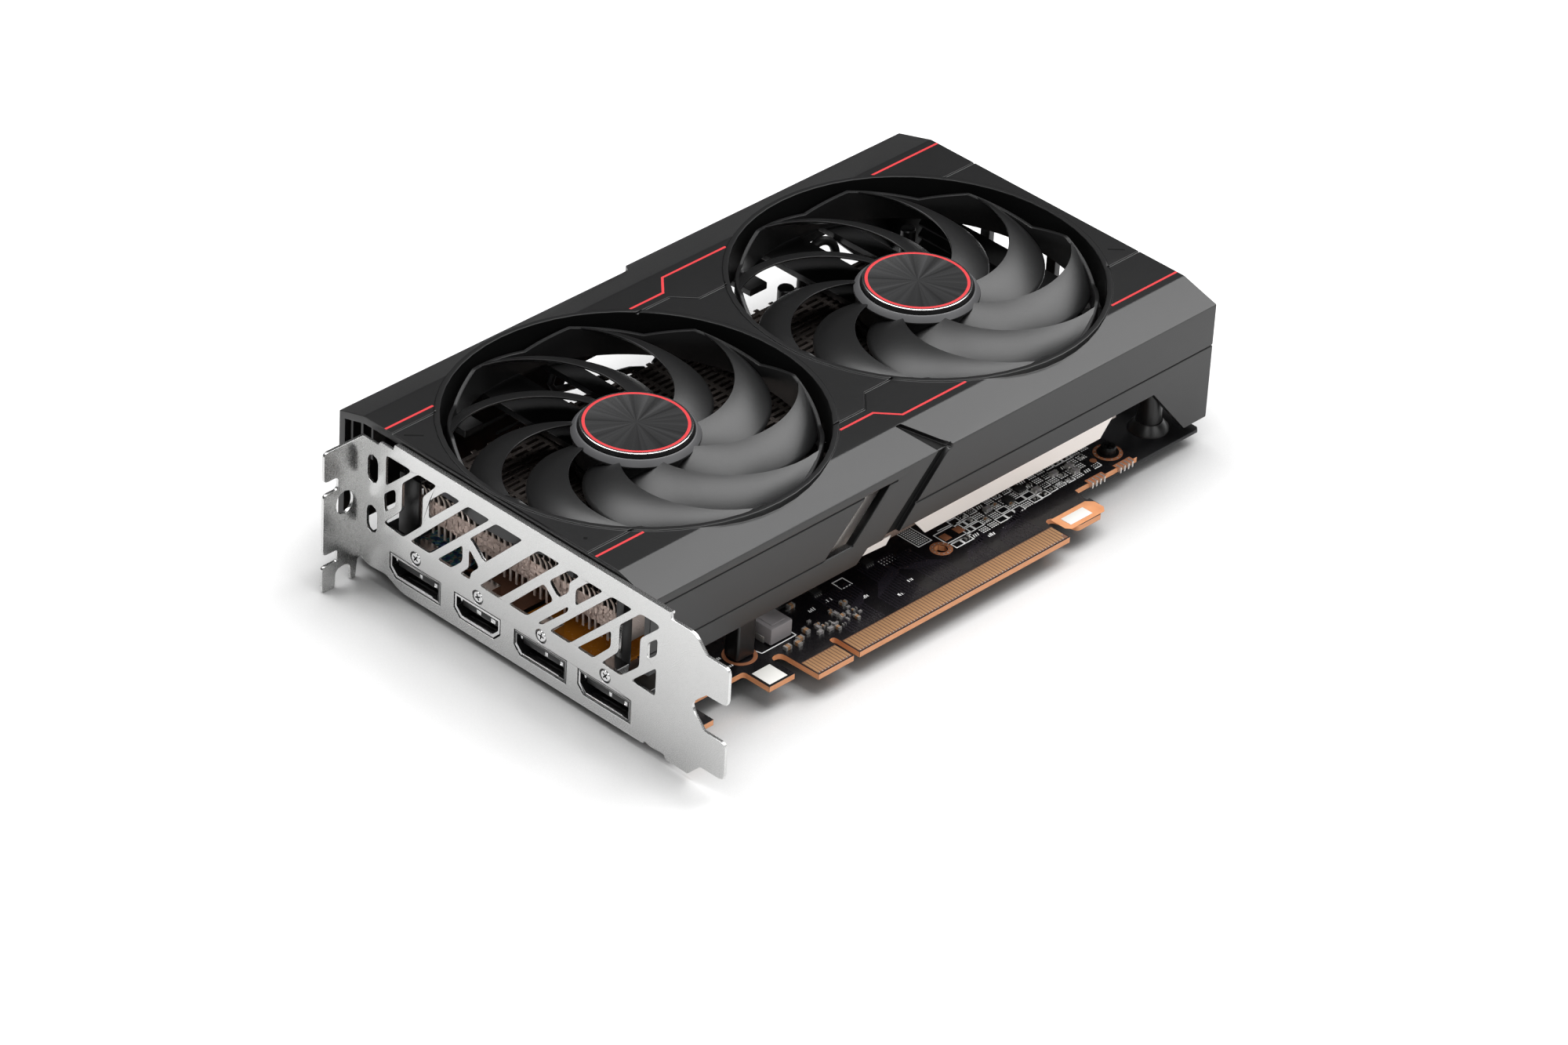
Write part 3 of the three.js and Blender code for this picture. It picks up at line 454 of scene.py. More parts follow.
def add_cross_screw(bm, matrix, radius, height, stem=0.0, recess=0):
    """A low domed head with a cross recess; the head stands on local Z = 0 and points up it."""
    steps = 48

    def loop(points, z):
        return [bm.verts.new(matrix @ Vector((x, y, z))) for x, y in points]

    def circle(r):
        return [(r * math.cos(math.tau * k / steps), r * math.sin(math.tau * k / steps))
                for k in range(steps)]

    levels = [(0.55 * radius, -stem), (0.55 * radius, 0.0)] if stem else []
    levels += [(radius, 0.0), (radius, 0.55 * height), (0.96 * radius, 0.8 * height),
               (0.86 * radius, height)]
    rings = [loop(circle(r), z) for r, z in levels]
    for a, b in zip(rings, rings[1:]):
        join_loops(bm, a, b)
    arm, half = 0.60 * radius, 0.13 * radius
    quarter = [(arm, -half), (arm, half), (half, half)]
    cross = []
    for _ in range(4):
        cross += quarter
        quarter = [(-y, x) for x, y in quarter]
    top = loop(cross, height)
    sunk = loop([(0.8 * x, 0.8 * y) for x, y in cross], 0.25 * height)
    bm.faces.new(rings[0])
    for face in join_loops(bm, top, sunk) + [bm.faces.new(sunk)]:
        face.material_index = recess
    edges = [bm.edges.get((a, b)) for ring in (rings[-1], top) for a, b in zip(ring, ring[1:] + ring[:1])]
    bmesh.ops.triangle_fill(bm, use_beauty=True, edges=edges)


# ---- Cover and bracket ------------------------------------------------------------
# The near facet's lower and upper edge in (y, z), and the depth of the recess cut in it.
FACET_FOOT, FACET_HEAD = (13.0, 34.4), (23.8, 37.5)
ARROW_DEPTH = 1.1
DUCT_RADIUS = 45.9
RIM_RADIUS = 47.25


def cover_finish(face):
    """Fan ducts and the floor of the arrow recess are rougher than the outside, and darker with weak
    reflection as painted shade.
    """
    centre = face.calc_center_median()
    for x, y, _ in FAN_CENTRES.values():
        if math.hypot(centre.x - x, centre.y - y) < DUCT_RADIUS and abs(face.normal.z) < 0.5:
            return 1
    wall_y, wall_top = FACET_FOOT
    slope = math.atan2(FACET_HEAD[1] - wall_top, FACET_HEAD[0] - wall_y)
    under_wall = centre.y - wall_y
    under_facet = under_wall * math.sin(slope) - (centre.z - wall_top) * math.cos(slope)
    in_wall = face.normal.y < -0.9 and abs(under_wall - ARROW_DEPTH) < 0.1
    in_facet = face.normal.y * face.normal.z < -0.1 and abs(under_facet - ARROW_DEPTH) < 0.1
    return 1 if in_wall or in_facet else 0


def build_cover():
    refine("cover", "cover_shell", "cover bore", 0.22, 9.0, cover_finish, merge_flats=False)
    refine("cover_post_front", "front_post", "cover", 0.25, 30.0)
    refine("cover_post_end", "end_post", "cover", 0.2, 40.0)
    build_post_flange()


def build_post_flange():
    """The end post stands on the backplate with a wide conical foot."""
    base = node_box("backplate")[1][2]
    flange = [(0, base), (5.2, base), (5.1, base + 0.5), (3.6, base + 2.2), (3.4, base + 2.6),
              (0, base + 2.6)]
    bm = bmesh.new()
    add_lathe(bm, node_centre("cover_post_end"), flange, steps=48, closed=False)
    finish_piece("end_post_flange", bm, "cover")


def ribbon(bm, points, width, z, thick):
    """A flat stripe along a polyline in XY, mitred at its corners."""
    pts = [Vector(p) for p in points]
    rows = []
    for i, p in enumerate(pts):
        before = (p - pts[i - 1]).normalized() if i else (pts[1] - p).normalized()
        after = (pts[i + 1] - p).normalized() if i + 1 < len(pts) else before
        across = Vector((-(before + after).y, (before + after).x)).normalized()
        reach = width / 2 / max(0.3, across.dot(Vector((-before.y, before.x))))
        rows.append((p + across * reach, p - across * reach))
    sheets = [[[bm.verts.new((p.x, p.y, level)) for p in row] for row in rows] for level in (z + thick, z)]
    close_sheets(bm, *sheets)


def build_stripes():
    """Thin red stripes that step towards the middle of the card between the fans."""
    bm = bmesh.new()
    fan_y = FAN_CENTRES["left"][1]
    width, reach_in, reach_out = 0.64, 34.8, 39.8
    sunk, thick = 0.05, 0.09
    start, end = COVER_LOW[0] + 0.1, COVER_HIGH[0] - 0.3
    for side in (-1, 1):
        inner, outer = fan_y + side * reach_in, fan_y + side * reach_out
        for path in (
            [(start, inner), (fan_arc_x("left", inner, -1), inner)],
            [(fan_arc_x("left", inner, 1), inner), (91.9, inner), (96.6, outer),
             (fan_arc_x("right", outer, -1), outer)],
            [(fan_arc_x("right", outer, 1), outer), (end, outer)],
        ):
            ribbon(bm, path, width, COVER_FACE - sunk, thick)
    finish_piece("red_stripes", bm, "red")


def build_cover_marks():
    """Two dashes and a pin hole near the corners of the cover's face, as thin dark slivers on it in the
    painted-shade material; the pin hole is a painted shadow.
    """
    bm = bmesh.new()
    width, sunk, tall = 0.55, 0.04, 0.06
    for dash in ([(3.4, 96.0), (6.7, 92.9)], [(187.4, 44.1), (190.4, 41.2)]):
        ribbon(bm, dash, width, COVER_FACE - sunk, tall)
    add_disc(bm, (5.3, 38.0), 0.5, COVER_FACE - sunk, COVER_FACE - sunk + tall, steps=24)
    finish_piece("cover_marks", bm, "bore")


def fan_arc_x(side, y, direction):
    """Where a line at this y meets the fan's rim, on its near (-1) or far (1) side."""
    x, fan_y, _ = FAN_CENTRES[side]
    return x + direction * math.sqrt(RIM_RADIUS ** 2 - (y - fan_y) ** 2)


def build_bracket():
    refine("bracket", "bracket_plate", "nickel", 0.12, 50.0, merge_flats=False)


# ---- Fans -----------------------------------------------------------------------------
BLADES = 9
PERIOD = 360.0 / BLADES             # degrees from one blade to the next
FIRST_TIP = 27.0                    # direction of the first blade's tip, in degrees
HUB_R = 14.6
BLADE_INSET = 0.4                   # how far a blade reaches into the hub and into the ring
RING_IN, RING_OUT = 42.8, 43.8
RING_LOW, RING_HIGH = 27.6, 36.3
RING_DIP, RING_FALL = 3.3, 16.0     # the ring's top dips this far, this many degrees past a tip
BLADE_HIGH = 36.0
LEAD_LAG, SWEEP, SWEEP_POWER = 3.0, 54.0, 0.81


def blade_point(centre, tip, u, v, under):
    """A point of a blade: u runs from hub to tip, v from the high leading edge to the low trailing one."""
    inner, outer = HUB_R - BLADE_INSET, RING_IN + BLADE_INSET
    radius = inner + (outer - inner) * u
    inward = max(0.0, (RING_IN - radius) / (RING_IN - inner))
    lead = tip - LEAD_LAG - SWEEP * inward ** SWEEP_POWER
    angle = math.radians(lead - (34.0 - 13.0 * u) * v)
    z = BLADE_HIGH - 1.62 * inward - (5.0 + 0.6 * u) * (0.55 * v + 0.45 * v * v)
    if under:
        z -= 0.55 + 0.55 * math.sin(math.pi * v)
    return (centre[0] + radius * math.cos(angle), centre[1] + radius * math.sin(angle), z)


def add_blade(bm, centre, tip):
    """A swept blade with two curved faces and slightly rounded edges."""
    rows, columns = 30, 16
    edge, rounding = 0.012, 0.14
    across = [0.0, edge] + [edge + (1 - 2 * edge) * c / columns for c in range(1, columns)]
    across += [1 - edge, 1.0]
    last = len(across) - 1
    sheets = []
    for under in (False, True):
        def place(r, c):
            x, y, z = blade_point(centre, tip, r / rows, across[c], under)
            if c in (0, last):
                z += rounding if under else -rounding
            return x, y, z

        sheets.append(add_grid(bm, rows, last, place))
    close_sheets(bm, *sheets)


def ring_top(angle):
    """Height of the ring's top edge: it climbs with each blade's tip, then falls to the next."""
    after_tip = (angle - FIRST_TIP) % PERIOD
    if after_tip < RING_FALL:
        share = after_tip / RING_FALL
    else:
        share = (PERIOD - after_tip) / (PERIOD - RING_FALL)
    return RING_HIGH - RING_DIP * share


def add_ring(bm, centre):
    """The thin ring that joins the blades' tips."""
    steps, lip = 360, 0.18
    loops = []
    for i in range(steps):
        degrees = 360.0 * i / steps
        angle = math.radians(degrees)
        top = ring_top(degrees)
        section = [(RING_IN, RING_LOW), (RING_OUT, RING_LOW), (RING_OUT, top - lip),
                   (RING_OUT - lip, top), (RING_IN + lip, top), (RING_IN, top - lip)]
        loops.append([bm.verts.new((centre[0] + r * math.cos(angle), centre[1] + r * math.sin(angle), z))
                      for r, z in section])
    for a, b in zip(loops, loops[1:] + loops[:1]):
        join_loops(bm, a, b)


def build_rotor(side):
    centre = FAN_CENTRES[side]
    bm = bmesh.new()
    for i in range(BLADES):
        add_blade(bm, centre, FIRST_TIP + PERIOD * i)
    add_ring(bm, centre)
    hub = [(0, 33.9), (12.9, 33.9), (13.1, 33.7), (13.1, 28.0), (13.3, 27.8), (14.4, 27.8),
           (14.6, 28.0), (14.6, 33.0), (15.1, 33.1), (15.35, 33.3), (15.4, 33.55), (15.3, 33.8),
           (14.25, 35.05), (14.1, 35.16), (13.95, 35.16), (13.85, 35.05), (13.75, 34.8), (13.5, 34.7),
           (0, 34.7)]
    # The hub's rounded shoulder takes the grey copy of the plastic, a painted highlight.
    rim_first, rim_last = 11, 15
    indices = [int(rim_first <= k <= rim_last) for k in range(len(hub) - 1)]
    add_lathe(bm, centre, hub, steps=128, closed=False, indices=indices)
    finish_piece(f"rotor_{side}", bm, "fan hub_rim", body=f"fan_{side}",
                 stands_for=f"fan_rotor_{side}", sharp=38.0)
    build_hub_cap(side, centre)
    for part, look in (("shaft", "steel"), ("magnet", "ferrite")):
        refine(f"fan_{part}_{side}", f"{part}_{side}", look, 0.15, 40.0, body=f"fan_{side}")


def build_hub_cap(side, centre):
    """Black disc with a red ring and a bright turned edge, in a shallow groove of the hub."""
    bm = bmesh.new()
    face = 36.3
    profile = [(0, face), (11.9, face), (12.0, face + 0.03), (12.75, face + 0.03), (12.85, face),
               (13.15, face), (13.3, face - 0.1), (13.4, face - 0.3), (13.4, 35.0), (13.2, 34.9),
               (0, 34.9)]
    black, red, metal = 0, 1, 2
    indices = [black, black, red, black, black, metal, black, black, black, black]
    add_lathe(bm, centre, profile, steps=160, closed=False, indices=indices)
    label = f"hub_label_{side}"
    LOOK[label] = hub_label_material(label, centre)
    finish_piece(f"hub_disc_{side}", bm, f"{label} red steel", body=f"fan_{side}",
                 stands_for=f"hub_cap_{side}", sharp=25.0)


def build_motor(side):
    refine(f"fan_frame_{side}", f"frame_{side}", "cover", 0.25, 40.0)
    refine(f"fan_bearing_{side}", f"bearing_{side}", "bronze", 0.2, 40.0)
    refine(f"fan_stator_{side}", f"stator_{side}", "winding", 0.6, 40.0)
    refine(f"fan_cable_{side}", f"cable_{side}", "cable", 0.1, 70.0)


# ---- Cooler -----------------------------------------------------------------------------
FIN_PITCH, FIN_THICK = 2.0, 0.3
FIN_BASE, FIN_TOP = 12.0, FIN_HIGH[2]
FIN_ROOT = 17.6
# Fins nearer than y = FIN_SHORT_UNTIL start further from the bracket.
FIN_START, FIN_SHORT_START, FIN_SHORT_UNTIL = 8.0, 46.0, 27.0
# Outlines in (x, z): below the skirt, behind the side window, and below the left skirt.
APRON_OUTLINES = (
    [(97.5, 8.4), (158.5, 8.4), (162.5, 13.0), (93.5, 13.0)],
    [(62.0, 12.0), (68.6, 12.0), (81.4, 28.0), (70.0, 28.0)],
    [(75.6, 11.4), (84.0, 10.9), (85.6, 13.0), (74.2, 13.0)],
)


def fin_rows():
    """The y of each fin's near face."""
    count = int((FIN_HIGH[1] - FIN_ROOT) / FIN_PITCH)
    return [FIN_ROOT + i * FIN_PITCH for i in range(count + 1)]


def build_fins():
    """Stamped fins with a folded lip on top, which hooks onto the next fin."""
    bm = bmesh.new()
    lip, hook, first_hook = 1.05, 1.3, 1.0
    for y in fin_rows():
        start = FIN_SHORT_START if y < FIN_SHORT_UNTIL else FIN_START
        section = [(y, FIN_BASE), (y + FIN_THICK, FIN_BASE), (y + FIN_THICK, FIN_TOP - 0.45),
                   (y + FIN_THICK + 0.12, FIN_TOP - FIN_THICK), (y + lip, FIN_TOP - FIN_THICK),
                   (y + lip, FIN_TOP), (y + 0.1, FIN_TOP), (y, FIN_TOP - 0.2)]
        add_prism(bm, *([(x, a, b) for a, b in section] for x in (start, FIN_HIGH[0])))
        for k in range(int((FIN_HIGH[0] - start) / hook / 4)):
            x = start + first_hook + 4 * hook * k
            add_box(bm, (x, y + lip - 0.1, FIN_TOP - 0.25), (x + hook, y + FIN_PITCH, FIN_TOP))
    # The fins' dark metal colour is painted shade.
    finish_piece("cooling_fins", bm, "fins", stands_for="fin_stack")
    build_apron()


def build_apron():
    """The outermost fin's sheets, under the cover's skirt and behind its side window, coloured near white
    and mostly matt as painted light.
    """
    bm = bmesh.new()
    for outline in APRON_OUTLINES:
        add_prism(bm, *([(x, y, z) for x, z in outline] for y in (FIN_ROOT - 0.3, FIN_ROOT + 0.1)))
    finish_piece("fin_apron", bm, "apron")


def build_fin_ends():
    """At the bracket, each fin's end is folded into a crumpled band with hooks above and tabs below; hooks
    and tabs are a lighter copy of the fin metal, a painted highlight.
    """
    rng = random.Random(FOLD_SEED)
    bm = bmesh.new()
    band_low, band_high, face_x = 14.9, 20.4, 7.5
    folded, bright = 0, 1
    for y in fin_rows():
        if y < FIN_SHORT_UNTIL:
            continue
        add_crumpled_panel(bm, rng, face_x, y, band_low, band_high, folded)
        hook = [(face_x, band_high - 0.3), (face_x - 0.2, band_high + 1.2),
                (face_x - 0.8, band_high + 2.8), (face_x - 1.7, band_high + 4.2)]
        add_strip(bm, hook, y + 0.1, y + 0.7, 0.22, bright)
        tab = [(face_x + 0.1, FIN_BASE - 0.6), (face_x, band_low + 0.2)]
        add_strip(bm, tab, y + 0.15, y + 0.7, 0.25, bright)
    finish_piece("fin_end_folds", bm, "fin_ends hook", sharp=50.0)


def add_crumpled_panel(bm, rng, x, y, z0, z1, index):
    """One fold of the band: a small plate facing the bracket, dented by the bending."""
    across, rows, thick, dent = 5, 13, 0.25, 0.22
    width = FIN_PITCH - 0.08
    dents = [[rng.uniform(-dent, dent) for _ in range(across + 1)] for _ in range(rows + 1)]
    sheets = [add_grid(bm, rows, across, lambda r, c: (x + dents[r][c] + back, y + width * c / across,
                                                       z0 + (z1 - z0) * r / rows))
              for back in (0.0, thick)]
    close_sheets(bm, *sheets, index)


def add_strip(bm, path, y0, y1, thick, index=0):
    """A bent strip: a path in XZ with a width along Y."""
    top = [[bm.verts.new((x, y, z)) for y in (y0, y1)] for x, z in path]
    low = [[bm.verts.new((x + thick, y, z)) for y in (y0, y1)] for x, z in path]
    close_sheets(bm, top, low, index)


def build_bracket_end():
    """What shows through the vents: guards beside the fins, and tape and film over the connectors."""
    bm = bmesh.new()
    black, violet, nickel = 0, 1, 2
    add_box(bm, (5.0, 24.6, 8.0), (8.0, 27.0, 32.5), black, 0.2)
    add_box(bm, (5.0, 92.2, 9.0), (5.8, 98.8, 25.5), black, 0.15)
    add_box(bm, (5.6, 92.2, 24.9), (7.6, 98.8, 25.4), nickel, 0.1)
    add_box(bm, (5.2, 60.0, 25.6), (5.9, 85.0, RING_LOW - 0.4), violet, 0.15)
    finish_piece("vent_guards", bm, "cover violet nickel")
    for name, low, high, look in (
        ("amber_tape_near", (3.0, 28.0, 6.25), (21.0, 57.0, 6.45), "amber"),
        ("brown_tape", (3.0, 58.5, 6.25), (18.0, 75.0, 6.45), "brown"),
        ("crumpled_film", (3.0, 79.5, 6.3), (15.5, 95.5, 6.5), "film"),
    ):
        bm = bmesh.new()
        add_crumpled_sheet(bm, low, high, 0.35 if look == "film" else 0.08)
        finish_piece(name, bm, look)


def add_crumpled_sheet(bm, low, high, swell):
    """A thin sheet lying on the connectors, with soft random creases."""
    rng = random.Random(int(low[1] * 10))  # seeded by its place, so no two sheets crease alike
    rows, columns = 16, 14
    creases = [[rng.uniform(0, swell) for _ in range(columns + 1)] for _ in range(rows + 1)]
    length, width = high[0] - low[0], high[1] - low[1]
    sheets = [add_grid(bm, rows, columns, lambda r, c: (low[0] + length * c / columns,
                                                        low[1] + width * r / rows, z + creases[r][c]))
              for z in (high[2], low[2])]
    close_sheets(bm, *sheets)


def build_cooler():
    build_fins()
    build_fin_ends()
    build_bracket_end()
    refine("cold_plate", "copper_plate", "copper", 0.3, 40.0)
    for i in (1, 2, 3):
        refine(f"heat_pipe_{i}", f"pipe_{i}", "copper", 0.3, 60.0)
    refine("spring_plate", "spring_cross", "steel", 0.12, 50.0)
    for i in (1, 2, 3, 4):
        build_cooler_screw(i)
    refine("backplate", "back_panel", "backplate", 0.2, 50.0)


def build_cooler_screw(i):
    """Shouldered screw through the spring plate; its cross head faces the back."""
    x, y, _ = node_centre(f"spring_screw_{i}")
    low, high = node_box(f"spring_screw_{i}")
    bm = bmesh.new()
    head = 0.85
    turned_over = Matrix.Translation((x, y, low[2] + head)) @ Matrix.Rotation(math.pi, 4, "X")
    add_cross_screw(bm, turned_over, 2.4, head)
    radius, thread = 1.35, 0.5
    profile = [(0, low[2] + head), (radius, low[2] + head)]
    turns = int((high[2] - 0.4 - low[2] - head - 1.0) / thread)
    z = low[2] + head + 1.0
    for _ in range(turns):
        profile += [(radius, z), (radius - 0.25, z + thread / 2)]
        z += thread
    profile += [(radius, z), (radius - 0.4, high[2]), (0, high[2])]
    add_lathe(bm, (x, y), profile, steps=28, closed=False)
    finish_piece(f"cooler_screw_{i}", bm, "steel",
                 stands_for=f"spring_screw_{i}")


# ---- Circuit board -------------------------------------------------------------------------
def board_side(face):
    return 1 if abs(face.normal.z) < 0.5 else 0


# Print is this wide and this high, and everything on the board is sunk a little into it.
INK, INK_HEIGHT = 0.30, 0.03
SUNK = 0.01
MOUNT_HOLE = (103.1, 16.8)
EDGE_SCREW = (163.5, 18.7)
FRONT_POST = (36.4, 17.5)
TEST_PAD = (158.2, 18.6)
PAD_PAIR = (109.6, 19.5)               # middle of the two bare pads


def build_board():
    refine("circuit_board", "board", "mask laminate", 0.06, 50.0, board_side)
    build_contacts()
    build_board_rings()
    build_print()
    build_traces()
    build_surface_parts()
    build_board_labels()


def build_contacts():
    """Gold contacts of the edge connector, 1 mm apart, on both faces of the board."""
    bm = bmesh.new()
    gold, bare, nick = 0, 1, 2
    width, length, first = 0.72, 4.9, 0.75
    # Start, end and number of contacts on either side of the key.
    for start, end, count in ((44.55, 56.2, 11), (58.1, 129.75, 71)):
        for z0, z1 in ((BOARD_TOP - 0.02, BOARD_TOP + 0.02), (-0.02, 0.02)):
            add_box(bm, (start + 0.3, 0.35, z0), (end - 0.3, 5.9, z1), bare)
        for i in range(count):
            x = start + 0.82 + i
            short = i == count - 1 and count > 11
            y0 = first + (1.2 if short else 0.0)
            for z0, z1 in ((BOARD_TOP, BOARD_TOP + 0.06), (-0.06, 0.0)):
                add_box(bm, (x - width / 2, y0, z0), (x + width / 2, first + length, z1), gold)
            add_box(bm, (x - 0.12, y0 - 0.35, BOARD_TOP), (x + 0.12, y0 + 0.1, BOARD_TOP + 0.05), nick)
    finish_piece("edge_contacts", bm, "gold brown solder")


def build_board_rings():
    """Bare copper round the screw holes, the castellated edge and the test pads."""
    bm = bmesh.new()
    copper, tin = 0, 1
    low, high = BOARD_TOP - 0.02, BOARD_TOP + 0.05
    add_disc(bm, MOUNT_HOLE, 2.8, low, high, copper, hole=1.62)
    add_disc(bm, EDGE_SCREW, 3.7, low, high, copper, hole=2.0)
    add_disc(bm, FRONT_POST, 4.2, low, high, copper, hole=3.2)
    add_disc(bm, TEST_PAD, 0.9, low, high, copper)
    for x, y in (MOUNT_HOLE, EDGE_SCREW):
        radius = 2.2 if (x, y) == MOUNT_HOLE else 3.2
        for k in range(12):
            turn = math.tau * k / 12
            spot = (x + radius * math.cos(turn), y + radius * math.sin(turn))
            add_disc(bm, spot, 0.22, low, high + 0.03, tin, steps=10)
    for x0 in (150.0, 160.0):
        add_box(bm, (x0, 12.2, low), (x0 + 6.0, 14.0, high), copper)
        for k in range(4):
            add_box(bm, (x0 + 0.7 + 1.4 * k, 11.9, 0.1), (x0 + 1.1 + 1.4 * k, 13.6, high + 0.05), tin)
    for x, y in ((107.3, 19.5), (112.0, 19.6)):
        add_box(bm, (x - 1.1, y - 1.2, low), (x + 1.1, y + 1.2, BOARD_TOP + 0.12), copper, 0.05)
    finish_piece("board_copper", bm, "pad solder")


def add_line(bm, x0, y0, x1, y1):
    """A printed line on the board between two points."""
    start, end = Vector((x0, y0)), Vector((x1, y1))
    along = (end - start).normalized()
    across = Vector((-along.y, along.x)) * INK / 2
    corners = (start + across, start - across, end - across, end + across)
    add_prism(bm, *([(p.x, p.y, z) for p in corners] for z in (BOARD_TOP - SUNK, BOARD_TOP + INK_HEIGHT)))


def add_frame(bm, x0, y0, x1, y1):
    """A printed rectangle, drawn as four lines."""
    half = INK / 2
    add_line(bm, x0 - half, y0, x1 + half, y0)
    add_line(bm, x0 - half, y1, x1 + half, y1)
    add_line(bm, x0, y0 + half, x0, y1 - half)
    add_line(bm, x1, y0 + half, x1, y1 - half)


def add_dot_grid(bm, x, y, columns, rows, pitch, radius=0.24):
    """Printed dots in rows and columns."""
    for i in range(columns):
        for j in range(rows):
            add_disc(bm, (x + i * pitch, y + j * pitch), radius, BOARD_TOP - SUNK,
                     BOARD_TOP + INK_HEIGHT, steps=8)


CELL_X, CELL_Y = 3.1, 2.4


def dense_cells():
    """Near-left corners of the cells in the crowded strip beside the edge connector."""
    columns, rows = 18, 4
    for column in range(columns):
        x = 106.0 + column * CELL_X
        first = 14.4 + 1.2 * max(0.0, min(1.0, (x - 113.0) / 28.0))
        for row in range(rows):
            yield x, first + row * CELL_Y


def is_clear(x, y):
    """True away from the screw holes, the test pad and the two bare pads."""
    spots = ((MOUNT_HOLE, 3.6), (EDGE_SCREW, 4.6), (TEST_PAD, 1.6), (PAD_PAIR, 3.9))
    return all(math.hypot(x - c[0], y - c[1]) > reach for c, reach in spots)


def build_print():
    """White marks of the board's print: outlines, corner marks and rows of dots, and no lettering."""
    rng = random.Random(PRINT_SEED)
    bm = bmesh.new()
    dx, dy = CELL_X, CELL_Y
    dots, frames, corners = 0.45, 0.7, 0.85  # a cell with a higher draw gets three ticks
    for x, y in dense_cells():
        if not is_clear(x + dx / 2, y + dy / 2):
            continue
        style = rng.random()
        if style < dots:
            add_dot_grid(bm, x + 0.4, y + 0.4, 4, 3, 0.68)
        elif style < frames:
            add_frame(bm, x + 0.15, y + 0.2, x + dx - 0.2, y + dy - 0.3)
        elif style < corners:
            add_line(bm, x + 0.2, y + 0.3, x + dx - 0.4, y + 0.3)
            add_line(bm, x + dx - 0.4, y + 0.3, x + dx - 0.4, y + dy - 0.4)
            add_dot_grid(bm, x + 0.6, y + 1.0, 3, 2, 0.7, 0.16)
        else:
            for k in range(3):
                add_line(bm, x + 0.4 + 0.7 * k, y + 0.4, x + 0.8 + 0.7 * k, y + 1.5)
    add_frame(bm, 99.6, 20.8, 104.0, 28.7)
    add_dot_grid(bm, 100.4, 21.6, 5, 10, 0.7)
    add_frame(bm, 105.7, 17.3, 113.6, 21.8)
    add_line(bm, 106.6, 16.7, 112.9, 16.4)
    add_line(bm, 107.8, 22.5, 112.5, 22.3)
    add_frame(bm, 73.4, 20.6, 76.8, 23.8)
    add_line(bm, 40.3, 16.4, 40.8, 14.6)
    add_line(bm, 40.8, 14.6, 52.0, 14.6)
    add_line(bm, 52.0, 14.6, 52.0, 18.0)
    for x, y in ((30.6, 15.5), (30.4, 19.3), (74.3, 14.4), (81.4, 9.6), (87.0, 12.2), (66.8, 19.0),
                 (115.5, 12.6), (120.1, 12.2), (121.6, 12.4), (144.0, 17.0), (146.0, 16.2), (61.0, 18.8)):
        for k in range(4):
            add_line(bm, x + 0.55 * k, y, x + 0.55 * k + rng.uniform(0.0, 0.3), y + rng.uniform(0.6, 1.1))
    add_dot_grid(bm, 88.0, 21.0, 6, 3, 0.9)
    finish_piece("board_print", bm, "print")


def build_traces():
    """Copper tracks under the solder mask, which show as faint raised lines."""
    bm = bmesh.new()
    width, gap, tall = 0.42, 0.95, 0.05
    # Each bundle runs from the contacts, bends by 45 degrees and goes on to end_y.
    for start_x, count, low_y, bend_y, shift, end_y in (
        (62.5, 12, 6.3, 9.5, 3.5, 22.0), (77.5, 12, 6.3, 12.5, 4.5, 24.0), (92.5, 9, 6.3, 15.0, -3.0, 22.0),
        (104.5, 9, 6.3, 9.2, 3.0, 12.6), (116.5, 12, 6.3, 9.8, 3.0, 13.4),
    ):
        for k in range(count):
            x = start_x + k * gap
            bend = bend_y + (0.35 * k if shift > 0 else -0.25 * k)
            path = [(x, low_y), (x, bend), (x + shift, bend + abs(shift)), (x + shift, end_y)]
            ribbon(bm, path, width, BOARD_TOP - SUNK, tall)
    finish_piece("board_traces", bm, "trace")


def add_ceramic(bm, x, y, length, width, turn=0.0, height=0.6, body=0):
    """A two-ended surface part: a ceramic body between two tinned ends."""
    tin = 3
    spot = Matrix.Translation((x, y, 0)) @ Matrix.Rotation(math.radians(turn), 4, "Z")
    cap = 0.26 * length
    z0, z1 = BOARD_TOP - SUNK, BOARD_TOP + height
    for x0, x1, index, grow in ((-length / 2, -length / 2 + cap, tin, 0.03),
                                (-length / 2 + cap, length / 2 - cap, body, 0.0),
                                (length / 2 - cap, length / 2, tin, 0.03)):
        before = set(bm.verts)
        add_box(bm, (x0, -width / 2 - grow, z0), (x1, width / 2 + grow, z1 + grow), index)
        bmesh.ops.transform(bm, matrix=spot, verts=[v for v in bm.verts if v not in before])


